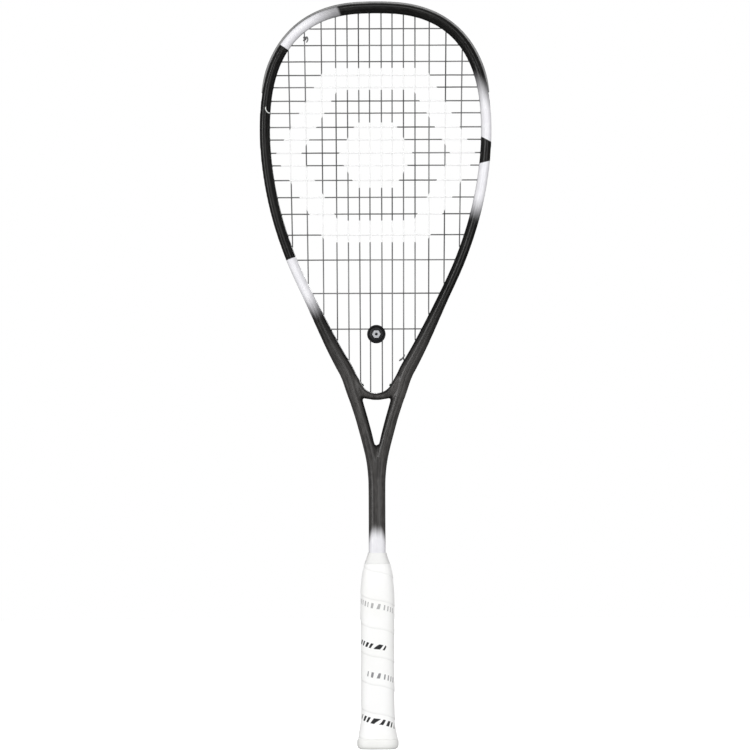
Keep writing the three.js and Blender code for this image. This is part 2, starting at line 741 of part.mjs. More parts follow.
// One string that runs across the hoop, out through a hole, round to the next hole and back.
function wovenString(runs) {
  const points = [above(runs[0][0], levelOfString)];
  runs.forEach(([start, end], row) => {
    points.push(mouthPoint(start), mouthPoint(end));
    const next = runs[row + 1];
    points.push(...(next ? loopBetween(end, next[0]) : [above(end, levelOfString)]));
  });
  const ends = [runs[0][0], runs[runs.length - 1][1]];
  return joinAll([stringSolid(points), ...ends.map(knotAt)]);
}

function mainRuns() {
  const count = mainTops.length;
  const columns = [];
  for (let row = count; row >= 1; row -= 1) columns.push(-row);
  for (let row = 1; row <= count; row += 1) columns.push(row);
  return columns.map((column, order) => {
    const run = [holes[`main_foot_${column}`], holes[`main_top_${column}`]];
    return order % 2 === 0 ? run : run.reverse();
  });
}

function crossRuns() {
  return crossHeights.map((unused, row) => {
    const run = [holes[`cross_${-(row + 1)}`], holes[`cross_${row + 1}`]];
    return row % 2 === 0 ? run : run.reverse();
  });
}

// ---- Handle -------------------------------------------------------------------------------------------

const coneFootZ = HANDLE_LENGTH - CONE_HEIGHT;
const tapeFootZ = LIP_HEIGHT + CLEARANCE;
const palletTopZ = HANDLE_LENGTH - PALLET_DROP;
const palletStepZ = SKIRT_HEIGHT + CLEARANCE;

// Half width and half depth of the wrapped grip at a height.
function gripHalf(z) {
  const share = (flare, straight, cone) => between([
    [tapeFootZ, flare / 2],
    [mix(tapeFootZ, FLARE_HEIGHT, 0.35), mix(flare, straight, 0.55) / 2],
    [mix(tapeFootZ, FLARE_HEIGHT, 0.6), mix(flare, straight, 0.8) / 2],
    [FLARE_HEIGHT, straight / 2],
    [coneFootZ, straight / 2],
    [mix(coneFootZ, HANDLE_LENGTH, 0.42), mix(straight, cone, 0.2) / 2],
    [mix(coneFootZ, HANDLE_LENGTH, 0.82), mix(straight, cone, 0.66) / 2],
    [HANDLE_LENGTH, cone / 2],
  ], z);
  return [share(FLARE_WIDTH, GRIP_WIDTH, CONE_WIDTH), share(FLARE_DEPTH, GRIP_DEPTH, CONE_DEPTH)];
}

function gripHeights(from, to) {
  const heights = [
    mix(tapeFootZ, FLARE_HEIGHT, 0.35), mix(tapeFootZ, FLARE_HEIGHT, 0.6), FLARE_HEIGHT, coneFootZ,
    mix(coneFootZ, HANDLE_LENGTH, 0.42), mix(coneFootZ, HANDLE_LENGTH, 0.82),
  ];
  return [from, ...heights.filter((z) => z > from + 0.5 && z < to - 0.5), to];
}

// A ring of the grip's rounded section.
function gripRing(z, halfWidth, halfDepth) {
  const corners = 20;
  const power = 2 / GRIP_SQUARENESS;
  return Array.from({ length: corners }, (unused, corner) => {
    const angle = ((corner + 0.5) / corners) * 2 * Math.PI;
    const [cos, sin] = [Math.cos(angle), Math.sin(angle)];
    const x = halfWidth * Math.sign(cos) * Math.abs(cos) ** power;
    const y = halfDepth * Math.sign(sin) * Math.abs(sin) ** power;
    return new THREE.Vector3(x, y, z);
  });
}

function gripLayer(heights, depthUnderSurface) {
  return solidLoft(heights.map((z) => {
    const [halfWidth, halfDepth] = gripHalf(z);
    return gripRing(z, halfWidth - depthUnderSurface, halfDepth - depthUnderSurface);
  }));
}

function gripTape() {
  const heights = gripHeights(tapeFootZ, HANDLE_LENGTH);
  const inner = heights.map((z, row) => {
    if (row === 0) return z - CUT_OVERRUN;
    return row === heights.length - 1 ? z + CUT_OVERRUN : z;
  });
  const inside = solidLoft(inner.map((z, row) => {
    const [halfWidth, halfDepth] = gripHalf(heights[row]);
    return gripRing(z, halfWidth - TAPE_THICKNESS, halfDepth - TAPE_THICKNESS);
  }));
  return gripLayer(heights, 0).subtract(inside);
}

function finishingTape() {
  const from = HANDLE_LENGTH + CLEARANCE;
  const to = HANDLE_LENGTH + COLLAR_LENGTH;
  const [insideX, insideY] = [SHAFT_WIDTH / 2 + 1.5 * CLEARANCE, SHAFT_DEPTH / 2 + 1.5 * CLEARANCE];
  const cone = solidLoft([
    gripRing(from, CONE_WIDTH / 2, CONE_DEPTH / 2),
    gripRing(mix(from, to, 0.7), mix(CONE_WIDTH / 2, insideX + COLLAR_WALL, 0.85),
      mix(CONE_DEPTH / 2, insideY + COLLAR_WALL, 0.85)),
    gripRing(to, insideX + COLLAR_WALL, insideY + COLLAR_WALL),
  ]);
  const way = solidLoft([from - CUT_OVERRUN, to + CUT_OVERRUN].map((z) => gripRing(z, insideX, insideY)));
  return cone.subtract(way);
}

// The pallets' seat inside the butt cap, as half width and half depth.
function seatHalf() {
  const [halfWidth, halfDepth] = gripHalf(SKIRT_HEIGHT);
  const layers = TAPE_THICKNESS + CLEARANCE + SKIRT_WALL;
  return [halfWidth - layers, halfDepth - layers];
}

function stapleBoxes(side, growth) {
  const [skirtX] = gripHalf(STAPLE_HEIGHT);
  const outer = skirtX - TAPE_THICKNESS - CLEARANCE - 0.5;
  const half = STAPLE_WIRE / 2 + growth;
  const crossbar = [outer - STAPLE_WIRE - growth, outer + (growth > 0 ? 3 : 0)];
  const bars = [[crossbar, [-STAPLE_SPAN / 2 - growth, STAPLE_SPAN / 2 + growth]]];
  for (const end of [-1, 1]) {
    const y = end * (STAPLE_SPAN / 2 - STAPLE_WIRE / 2);
    bars.push([[outer - STAPLE_WIRE - STAPLE_REACH - growth, outer], [y - half, y + half]]);
  }
  return bars.map(([[lowX, highX], [lowY, highY]]) => {
    const [fromX, toX] = side > 0 ? [lowX, highX] : [-highX, -lowX];
    return boxSolid(
      new THREE.Vector3(fromX, lowY, STAPLE_HEIGHT - half),
      new THREE.Vector3(toX, highY, STAPLE_HEIGHT + half),
    );
  });
}

function stapleCuts() {
  return [...stapleBoxes(-1, CLEARANCE), ...stapleBoxes(1, CLEARANCE)];
}

function buttCap() {
  const [halfLip, halfLipDepth] = [LIP_WIDTH / 2, LIP_DEPTH / 2];
  const lip = [[0, 2.2], [0.8, 1], [2.2, 0.3], [LIP_HEIGHT / 2, 0], [LIP_HEIGHT - 1.6, 0.3], [LIP_HEIGHT, 1]];
  const outer = solidLoft(lip.map(([z, inset]) => gripRing(z, halfLip - inset, halfLipDepth - inset)));
  const skirtHeights = gripHeights(tapeFootZ, SKIRT_HEIGHT);
  const skirt = solidLoft([LIP_HEIGHT - 1, ...skirtHeights.slice(1)].map((z, row) => {
    const [halfWidth, halfDepth] = gripHalf(skirtHeights[row]);
    const under = TAPE_THICKNESS + CLEARANCE;
    return gripRing(z, halfWidth - under, halfDepth - under);
  }));
  const [seatX, seatY] = seatHalf();
  const seat = solidLoft([CAP_PLATE, SKIRT_HEIGHT + CUT_OVERRUN].map((z) => gripRing(z, seatX, seatY)));
  return cutAll(outer.add(skirt), [seat, ...stapleCuts()]);
}

function palletWhole() {
  const [seatX, seatY] = seatHalf();
  const stem = solidLoft([tubeFootZ, palletStepZ + 1].map((z) => (
    gripRing(z, seatX - CLEARANCE, seatY - CLEARANCE)
  )));
  const body = gripLayer(gripHeights(palletStepZ, palletTopZ), TAPE_THICKNESS + CLEARANCE);
  const shaftWay = boxSolid(
    new THREE.Vector3(-SHAFT_WIDTH / 2 - CLEARANCE, -SHAFT_DEPTH / 2 - CLEARANCE, 0),
    new THREE.Vector3(SHAFT_WIDTH / 2 + CLEARANCE, SHAFT_DEPTH / 2 + CLEARANCE, LENGTH / 2),
  );
  return cutAll(stem.add(body), [shaftWay, ...stapleCuts()]);
}

function pallet(side) {
  const [near, far] = [SPLIT_GAP / 2, GRIP_DEPTH];
  const [lowY, highY] = side > 0 ? [near, far] : [-far, -near];
  return palletWhole().intersect(boxSolid(
    new THREE.Vector3(-GRIP_WIDTH, lowY, 0), new THREE.Vector3(GRIP_WIDTH, highY, HANDLE_LENGTH),
  ));
}

// ---- Vibration damper ---------------------------------------------------------------------------------

const damperFace = stringOffset + stringRadius + CLEARANCE; // where its flanges start, from the middle
const damperZ = crossHeights[crossHeights.length - 1] - stringRadius - CLEARANCE - DAMPER_WAIST_HEIGHT / 2;

function turned(profile) {
  const geometry = new THREE.LatheGeometry(profile.map(([r, h]) => new THREE.Vector2(r, h)), 28);
  return solidOf(geometry);
}

// Profiles are turned about Y. Their heights count from the string plane towards the front (-Y).
function frontTurned(profile) {
  const flipped = profile.map(([r, h]) => [r, -h]).reverse();
  return turned(flipped).translate(0, 0, damperZ);
}

function damperBody() {
  const r = DAMPER_DIAMETER / 2;
  const front = damperFace + DAMPER_FLANGE;
  const flange = frontTurned([
    [0, damperFace], [r - 0.4, damperFace], [r, damperFace + 0.5], [r, front - 0.9], [r - 0.6, front - 0.2],
    [r - 1.1, front], [r - DAMPER_RIM + 0.3, front], [r - DAMPER_RIM, front - DAMPER_RECESS],
    [0, front - DAMPER_RECESS],
  ]);
  const backR = DAMPER_BACK_DIAMETER / 2;
  const back = damperFace + DAMPER_BACK_FLANGE;
  const backFlange = turned([
    [0, damperFace], [backR, damperFace], [backR, back - 0.7], [backR - 0.8, back], [0, back],
  ]).translate(0, 0, damperZ);
  const halfWaist = MIDDLE_MAIN_GAP / 2 - stringRadius - CLEARANCE;
  const waist = boxSolid(
    new THREE.Vector3(-halfWaist, -damperFace - 0.4, damperZ - DAMPER_WAIST_HEIGHT / 2),
    new THREE.Vector3(halfWaist, damperFace + 0.4, damperZ + DAMPER_WAIST_HEIGHT / 2),
  );
  return joinAll([waist, flange, backFlange]);
}

function damperBadge() {
  const r = DAMPER_DIAMETER / 2 - DAMPER_RIM - CLEARANCE;
  const low = damperFace + DAMPER_FLANGE - DAMPER_RECESS + CLEARANCE;
  return frontTurned([[0, low], [r, low], [r, low + BADGE_THICKNESS], [0, low + BADGE_THICKNESS]]);
}

// ---- Assembly -----------------------------------------------------------------------------------------

const racket = new THREE.Group();

function add(name, solid, material) {
  const mesh = new THREE.Mesh(geometryOf(solid), new THREE.MeshStandardMaterial(material));
  mesh.name = name;
  racket.add(mesh);
}

add('frame_tube', frameTube(), materials.carbon);
add('throat_bridge', bridge(), materials.carbon);
add('left_leg_plug', legPlug(-1), materials.foam);
add('right_leg_plug', legPlug(1), materials.foam);
add('bumper_guard', bumperGuard(), materials.bumper);
add('left_grommet_strip', sideStrip(-1), materials.grommet);
add('right_grommet_strip', sideStrip(1), materials.grommet);
add('bridge_grommet_strip', bridgeStrip(), materials.grommet);
add('main_string', wovenString(mainRuns()), materials.string);
add('cross_string', wovenString(crossRuns()), materials.string);
add('handle_pallet_front', pallet(-1), materials.pallet);
add('handle_pallet_back', pallet(1), materials.pallet);
add('butt_cap', buttCap(), materials.cap);
add('cap_staple_left', joinAll(stapleBoxes(-1, 0)), materials.steel);
add('cap_staple_right', joinAll(stapleBoxes(1, 0)), materials.steel);
add('grip_tape', gripTape(), materials.grip);
add('finishing_tape', finishingTape(), materials.finishing);
add('damper_body', damperBody(), materials.rubber);
add('damper_badge', damperBadge(), materials.badge);

export default racket;
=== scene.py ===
"""Squash racket: the finished surfaces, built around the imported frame.

The racket stands upright on its butt, with its string plane in XZ and its front face towards -Y.
Sizes are in millimetres until a mesh is made, and in metres from there on.
"""

import logging
import math
from dataclasses import dataclass
from enum import Enum
from typing import Any, Callable, Sequence

import bmesh
import bpy
import numpy as np
from mathutils import Matrix, Vector


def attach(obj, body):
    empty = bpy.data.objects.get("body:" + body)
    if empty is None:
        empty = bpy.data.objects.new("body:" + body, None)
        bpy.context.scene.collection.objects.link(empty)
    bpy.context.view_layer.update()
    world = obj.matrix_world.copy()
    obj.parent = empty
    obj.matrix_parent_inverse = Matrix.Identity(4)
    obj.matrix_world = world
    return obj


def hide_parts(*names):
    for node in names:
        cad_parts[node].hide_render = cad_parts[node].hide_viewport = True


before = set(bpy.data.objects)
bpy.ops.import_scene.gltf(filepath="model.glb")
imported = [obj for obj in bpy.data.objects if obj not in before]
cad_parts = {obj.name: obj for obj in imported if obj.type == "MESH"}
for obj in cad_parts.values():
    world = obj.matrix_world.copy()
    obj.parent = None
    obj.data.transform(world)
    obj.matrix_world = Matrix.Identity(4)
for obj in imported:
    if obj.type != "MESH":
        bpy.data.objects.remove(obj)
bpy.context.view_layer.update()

LOG = logging.getLogger("squash_racket")

Socket = bpy.types.NodeSocket
Piece = bpy.types.Object
Pair = tuple[float, float]
Pairs = tuple[Pair, ...]
Triple = tuple[float, float, float]
Colour = Triple
Skin = tuple[list, list]  # vertices and faces

MM = 0.001

# Driving sizes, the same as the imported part's, in millimetres
LENGTH = 686.0
HEAD_WIDTH = 213.0
HEAD_LENGTH = 359.5
WIDEST_DROP = 123.0
THROAT_LENGTH = 80.5
THROAT_WIDTH = 42.0
HANDLE_LENGTH = 170.0
CLEARANCE = 0.3
CROWN_FACE = 9.0
SIDE_FACE = 9.5
BUMPER_PROUD = 1.6
SHAFT_WIDTH = 15.4
SHAFT_DEPTH = 17.0
CAP_PLATE = 3.0
LIP_HEIGHT = 8.8

# Heights that follow from them
CROWN_Z = LENGTH - BUMPER_PROUD - CROWN_FACE / 2
WIDEST_Z = LENGTH - WIDEST_DROP
BRIDGE_Z = LENGTH - HEAD_LENGTH
SHAFT_TOP_Z = BRIDGE_Z - THROAT_LENGTH
TUBE_FOOT_Z = CAP_PLATE + CLEARANCE
HEAD_HALF = (HEAD_WIDTH - SIDE_FACE) / 2
LEG_X = SHAFT_WIDTH / 4
FRONT_TURN = 0.75  # share of a whole turn at the middle of the front


def mix(first: float, second: float, share: float) -> float:
    """Value a share of the way from the first to the second."""
    return first + (second - first) * share


def signed_power(value: float, power: float) -> float:
    """A power of a number's size, with the number's own sign."""
    return math.copysign(abs(value) ** power, value)


def trace(place: Any, points: Sequence[Pair]) -> Any:
    """Value at a place on the line drawn through (place, value) points."""
    return np.interp(place, *zip(*points))


class Side(Enum):
    """The two sides of the racket, seen from the front."""

    LEFT = -1
    RIGHT = 1


class Body(Enum):
    """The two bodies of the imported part."""

    RACKET = "racket"
    DAMPER = "damper"


# ---- Meshes ----


def mesh_object(name: str, points: Any, faces: Sequence[Sequence[int]]) -> Piece:
    """Makes a closed mesh object whose faces point outwards.

    Args:
        name: The piece's name.
        points: Vertices in millimetres.
        faces: Vertex numbers of each face.

    Returns:
        The new object, linked to the scene, with smooth faces.
    """
    mesh = bpy.data.meshes.new(name)
    mesh.from_pydata([[c * MM for c in point] for point in points], [], [list(face) for face in faces])
    work = bmesh.new()
    work.from_mesh(mesh)
    bmesh.ops.recalc_face_normals(work, faces=work.faces)
    work.to_mesh(mesh)
    work.free()
    mesh.shade_smooth()
    return link_mesh(name, mesh)


def link_mesh(name: str, mesh: bpy.types.Mesh) -> Piece:
    """Puts a mesh into the scene as an object at the origin."""
    piece = bpy.data.objects.new(name, mesh)
    bpy.context.scene.collection.objects.link(piece)
    return piece


def dress(piece: Piece, material: bpy.types.Material) -> None:
    """Gives a piece one material."""
    piece.data.materials.clear()
    piece.data.materials.append(material)


def register(piece: Piece, body: Body, slot: str, *nodes: str) -> None:
    """Ties a finished piece to the frame and reports it.

    Args:
        piece: The piece.
        body: The body that it rides on.
        slot: The slot that dresses it. Not used.
        *nodes: The frame's nodes that it stands for.
    """
    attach(piece, body.value)
    if nodes:
        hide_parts(*nodes)
    LOG.info("%s: %d faces on %s", piece.name, len(piece.data.polygons), body.value)


def loft(rings: Any, closed: bool = False) -> Skin:
    """Skins a row of rings.

    Args:
        rings: Array of shape (rows, corners, 3).
        closed: True where the last ring joins the first, otherwise both ends get a flat cap.

    Returns:
        The vertices and the faces.
    """
    rings = np.asarray(rings, float)
    rows, corners = rings.shape[:2]
    faces = []
    for row in range(rows if closed else rows - 1):
        here, there = row * corners, ((row + 1) % rows) * corners
        for corner in range(corners):
            after = (corner + 1) % corners
            faces.append((here + corner, here + after, there + after, there + corner))
    if not closed:
        faces.append(tuple(range(corners))[::-1])
        faces.append(tuple(range((rows - 1) * corners, rows * corners)))
    return rings.reshape(-1, 3).tolist(), faces


def gather(parts: Sequence[Skin]) -> Skin:
    """Puts several skins into one.

    Args:
        parts: The vertices and the faces of each skin.

    Returns:
        The vertices and the faces of all of them.
    """
    points: list = []
    faces: list = []
    for some_points, some_faces in parts:
        start = len(points)
        points.extend(some_points)
        faces.extend(tuple(start + corner for corner in face) for face in some_faces)
    return points, faces


def lathe_y(profile: Sequence[Pair], centre_z: float, steps: int = 72) -> Skin:
    """Turns a closed profile about the Y axis through x = 0 and a height.

    Args:
        profile: (radius, y) corners. The first and the last lie on the axis.
        centre_z: Height of the axis.
        steps: Sections round the turn.

    Returns:
        The vertices and the faces.
    """
    inner = profile[1:-1]
    points = [[0.0, profile[0][1], centre_z]]
    for step in range(steps):
        angle = 2 * math.pi * step / steps
        points += [[r * math.cos(angle), y, centre_z + r * math.sin(angle)] for r, y in inner]
    points.append([0.0, profile[-1][1], centre_z])
    count, last = len(inner), len(points) - 1
    faces: list = []
    for step in range(steps):
        here, there = 1 + step * count, 1 + ((step + 1) % steps) * count
        faces.append((0, there, here))
        faces += [(here + k, there + k, there + k + 1, here + k + 1) for k in range(count - 1)]
        faces.append((last, here + count - 1, there + count - 1))
    return points, faces


def spline(points: Any, samples: int) -> np.ndarray:
    """A uniform Catmull-Rom curve through points.

    Args:
        points: The points, with any number of coordinates.
        samples: Steps from each point to the next.

    Returns:
        The fine row of points.
    """
    points = np.asarray(points, float)
    whole = np.vstack([2 * points[0] - points[1], points, 2 * points[-1] - points[-2]])
    out = []
    for row in range(1, len(whole) - 2):
        a, b, c, d = whole[row - 1:row + 3]
        for t in np.linspace(0, 1, samples, endpoint=False):
            out.append(0.5 * (2 * b + (c - a) * t + (2 * a - 5 * b + 4 * c - d) * t * t
                              + (3 * b - a - 3 * c + d) * t ** 3))
    out.append(whole[-2])
    return np.array(out)


# ---- Nodes ----


def add_node(tree: bpy.types.NodeTree, kind: str, feeds: dict, settings: dict) -> bpy.types.Node:
    """Adds a node to a tree.

    Args:
        tree: The tree.
        kind: The node's type.
        feeds: For each input, another node's socket or a value.
        settings: Properties of the node.

    Returns:
        The node.
    """
    node = tree.nodes.new(kind)
    for label, value in settings.items():
        setattr(node, label, value)
    for label, value in feeds.items():
        if isinstance(value, Socket):
            tree.links.new(value, node.inputs[label])
        else:
            node.inputs[label].default_value = value
    return node


class TreeBuilder:
    """A geometry node tree built in code, with named inputs."""

    def __init__(self, name: str, inputs: dict[str, str]) -> None:
        """Starts a tree.

        Args:
            name: Name of the node group.
            inputs: Socket type of each named input, after the geometry.
        """
        self.group = bpy.data.node_groups.new(name, "GeometryNodeTree")
        face = self.group.interface
        face.new_socket(name="Geometry", in_out="INPUT", socket_type="NodeSocketGeometry")
        for label, kind in inputs.items():
            face.new_socket(name=label, in_out="INPUT", socket_type=kind)
        face.new_socket(name="Geometry", in_out="OUTPUT", socket_type="NodeSocketGeometry")
        self.source = self.group.nodes.new("NodeGroupInput")
        self.drain = self.group.nodes.new("NodeGroupOutput")

    def add(self, kind: str, feeds: dict[str, Any] | None = None, **settings: Any) -> bpy.types.Node:
        """Adds a node with its inputs and settings."""
        return add_node(self.group, kind, feeds or {}, settings)

    def end(self, geometry: Socket) -> None:
        """Realizes the instances, sets the material and joins the result to the output."""
        real = self.add("GeometryNodeRealizeInstances", {"Geometry": geometry})
        smooth = self.add("GeometryNodeSetShadeSmooth", {"Geometry": real.outputs[0]})
        dressed = self.add("GeometryNodeSetMaterial", {
            "Geometry": smooth.outputs[0], "Material": self.source.outputs["Material"]})
        self.group.links.new(dressed.outputs[0], self.drain.inputs["Geometry"])

    def apply(self, name: str, source: bpy.types.Mesh, values: dict[str, Any]) -> Piece:
        """Runs the tree on a mesh and keeps the result as a plain mesh.

        Args:
            name: Name of the new piece.
            source: The mesh that the tree starts from. It is removed.
            values: Values of the named inputs.

        Returns:
            The finished object, without a modifier.
        """
        carrier = link_mesh(name + "_source", source)
        modifier = carrier.modifiers.new("tree", "NODES")
        modifier.node_group = self.group
        for item in self.group.interface.items_tree:
            if item.item_type == "SOCKET" and item.in_out == "INPUT" and item.name in values:
                modifier[item.identifier] = values[item.name]
        graph = bpy.context.evaluated_depsgraph_get()
        mesh = bpy.data.meshes.new_from_object(
            carrier.evaluated_get(graph), preserve_all_data_layers=True, depsgraph=graph)
        mesh.name = name
        bpy.data.objects.remove(carrier)
        bpy.data.meshes.remove(source)
        return link_mesh(name, mesh)


def path_mesh(paths: Sequence[Any]) -> bpy.types.Mesh:
    """A mesh of bare edges.

    Args:
        paths: Points of each path, in millimetres.

    Returns:
        The mesh, with one chain of edges for each path.
    """
    points: list = []
    edges: list = []
    for path in paths:
        start = len(points)
        points.extend([[c * MM for c in point] for point in path])
        edges.extend((k, k + 1) for k in range(start, len(points) - 1))
    mesh = bpy.data.meshes.new("paths")
    mesh.from_pydata(points, edges, [])
    return mesh


def spot_mesh(spots: Sequence[tuple[Any, Any]]) -> bpy.types.Mesh:
    """A mesh of bare points that keep a direction in their attribute "aim".

    Args:
        spots: The place in millimetres and the direction of each point.

    Returns:
        The mesh.
    """
    mesh = bpy.data.meshes.new("spots")
    mesh.from_pydata([[c * MM for c in place] for place, _ in spots], [], [])
    aims = mesh.attributes.new("aim", "FLOAT_VECTOR", "POINT")
    aims.data.foreach_set("vector", np.array([aim for _, aim in spots], np.float32).ravel())
    return mesh


def cord_tree() -> TreeBuilder:
    """Tree that sweeps a round section along each path and keeps the distance along it."""
    tree = TreeBuilder("string_sweep", {
        "Radius": "NodeSocketFloat", "Sides": "NodeSocketInt", "Material": "NodeSocketMaterial"})
    curve = tree.add("GeometryNodeMeshToCurve", {"Mesh": tree.source.outputs["Geometry"]})
    along = tree.add("GeometryNodeSplineParameter")
    stored = tree.add("GeometryNodeStoreNamedAttribute", {
        "Geometry": curve.outputs[0], "Name": "along", "Value": along.outputs["Length"]},
        data_type="FLOAT", domain="POINT")
    section = tree.add("GeometryNodeCurvePrimitiveCircle", {
        "Resolution": tree.source.outputs["Sides"], "Radius": tree.source.outputs["Radius"]})
    swept = tree.add("GeometryNodeCurveToMesh", {
        "Curve": stored.outputs[0], "Profile Curve": section.outputs[0], "Fill Caps": True})
    tree.end(swept.outputs[0])
    return tree


def barrel_tree() -> TreeBuilder:
    """Tree that sets an open barrel with a rolled lip on each spot, turned to its aim."""
    tree = TreeBuilder("grommet_barrels", {
        "Radius": "NodeSocketFloat", "Wall": "NodeSocketFloat", "Length": "NodeSocketFloat",
        "Lip": "NodeSocketFloat", "Sides": "NodeSocketInt", "Material": "NodeSocketMaterial"})
    given = tree.source.outputs
    circle = tree.add("GeometryNodeCurvePrimitiveCircle", {
        "Resolution": given["Sides"], "Radius": given["Radius"]})
    wall = tree.add("GeometryNodeCurvePrimitiveQuadrilateral", {
        "Width": given["Wall"], "Height": given["Length"]}, mode="RECTANGLE")
    soft = tree.add("GeometryNodeFilletCurve", {
        "Curve": wall.outputs[0], "Radius": given["Lip"], "Count": 2}, mode="POLY")
    ring = tree.add("GeometryNodeCurveToMesh", {
        "Curve": circle.outputs[0], "Profile Curve": soft.outputs[0]})
    aim = tree.add("GeometryNodeInputNamedAttribute", {"Name": "aim"}, data_type="FLOAT_VECTOR")
    turn = tree.add("FunctionNodeAlignRotationToVector", {"Vector": aim.outputs[0]}, axis="Z")
    placed = tree.add("GeometryNodeInstanceOnPoints", {
        "Points": given["Geometry"], "Instance": ring.outputs[0], "Rotation": turn.outputs[0]})
    tree.end(placed.outputs[0])
    return tree


# ---- Materials ----


class ShaderNodes:
    """Short calls for the nodes of one material."""

    def __init__(self, name: str) -> None:
        """Starts a material with its principled shader."""
        self.material = bpy.data.materials.new(name)
        self.material.use_nodes = True
        self.tree = self.material.node_tree
        self.shader = next(n for n in self.tree.nodes if n.type == "BSDF_PRINCIPLED")

    def add(self, kind: str, feeds: dict[Any, Any], **settings: Any) -> bpy.types.Node:
        """Adds a node with its inputs and settings."""
        return add_node(self.tree, kind, feeds, settings)

    def place(self) -> Socket:
        """Object coordinates."""
        return self.add("ShaderNodeTexCoord", {}).outputs["Object"]

    def wrap(self) -> Socket:
        """The piece's own UV map."""
        return self.add("ShaderNodeTexCoord", {}).outputs["UV"]

    def attribute(self, name: str) -> Socket:
        """A number stored on the mesh."""
        return self.add("ShaderNodeAttribute", {}, attribute_name=name).outputs["Fac"]

    def split(self, vector: Socket) -> tuple:
        """The three numbers of a vector."""
        return tuple(self.add("ShaderNodeSeparateXYZ", {0: vector}).outputs)

    def join(self, x: Any, y: Any, z: Any) -> Socket:
        """A vector of three numbers."""
        return self.add("ShaderNodeCombineXYZ", {0: x, 1: y, 2: z}).outputs[0]

    def math(self, operation: str, first: Any, second: Any = 0.0) -> Socket:
        """One sum on two numbers."""
        return self.add("ShaderNodeMath", {0: first, 1: second}, operation=operation).outputs[0]

    def plus(self, first: Any, second: Any) -> Socket:
        """The sum of two numbers."""
        return self.math("ADD", first, second)

    def minus(self, first: Any, second: Any) -> Socket:
        """The first number less the second."""
        return self.math("SUBTRACT", first, second)

    def times(self, first: Any, second: Any) -> Socket:
        """The product of two numbers."""
        return self.math("MULTIPLY", first, second)

    def step(self, value: Any, low: float, high: float, to: Pair = (0.0, 1.0)) -> Any:
        """A smooth step between two places."""
        feeds = {"Value": value, "From Min": low, "From Max": high, "To Min": to[0], "To Max": to[1]}
        return self.add("ShaderNodeMapRange", feeds, interpolation_type="SMOOTHSTEP").outputs[0]

    def noise(self, vector: Any, scale: float, detail: float = 3.0) -> Socket:
        """Smooth noise from 0 to 1."""
        return self.add("ShaderNodeTexNoise", {"Vector": vector, "Scale": scale, "Detail": detail}).outputs[0]

    def stretch(self, vector: Any, scale: Triple) -> Socket:
        """A vector with its three axes scaled."""
        return self.add("ShaderNodeMapping", {"Vector": vector, "Scale": scale}).outputs[0]

    def blend(self, share: Any, first: Any, second: Any) -> Socket:
        """A colour between two colours."""
        colours = [(*c, 1.0) if isinstance(c, tuple) else c for c in (first, second)]
        feeds = {0: share, 6: colours[0], 7: colours[1]}
        return self.add("ShaderNodeMix", feeds, data_type="RGBA").outputs[2]

    def bump(self, height: Any, distance: float, strength: float = 1.0) -> None:
        """Raises the surface.

        Args:
            height: The height's socket.
            distance: Metres at height 1.
            strength: Share of the effect.
        """
        before = self.shader.inputs["Normal"]
        feeds = {"Height": height, "Distance": distance, "Strength": strength}
        if before.is_linked:
            feeds["Normal"] = before.links[0].from_socket
        node = self.add("ShaderNodeBump", feeds)
        self.tree.links.new(node.outputs[0], before)

    def end(self, **inputs: Any) -> bpy.types.Material:
        """Sets the shader's inputs and ends the material.

        Args:
            **inputs: A socket, a number or a colour for each input, with _ for a space in its name.

        Returns:
            The material.
        """
        for label, value in inputs.items():
            socket = self.shader.inputs[label.replace("_", " ")]
            if isinstance(value, Socket):
                self.tree.links.new(value, socket)
            else:
                socket.default_value = (*value, 1.0) if isinstance(value, tuple) else value
        return self.material


@dataclass(frozen=True)
class PaintEdge:
    """A place along the hoop where the white lacquer starts or ends."""

    run: float  # distance from the crown in millimetres, negative on the left
    width: float  # over which it changes
    starts: bool  # True where white starts as the run grows
    slant: float = 0.0  # run gained for each millimetre towards the outside
    ragged: float = 0.0  # how far streaks shift a fade
    amount: float = 1.0  # share of the white that it adds or takes


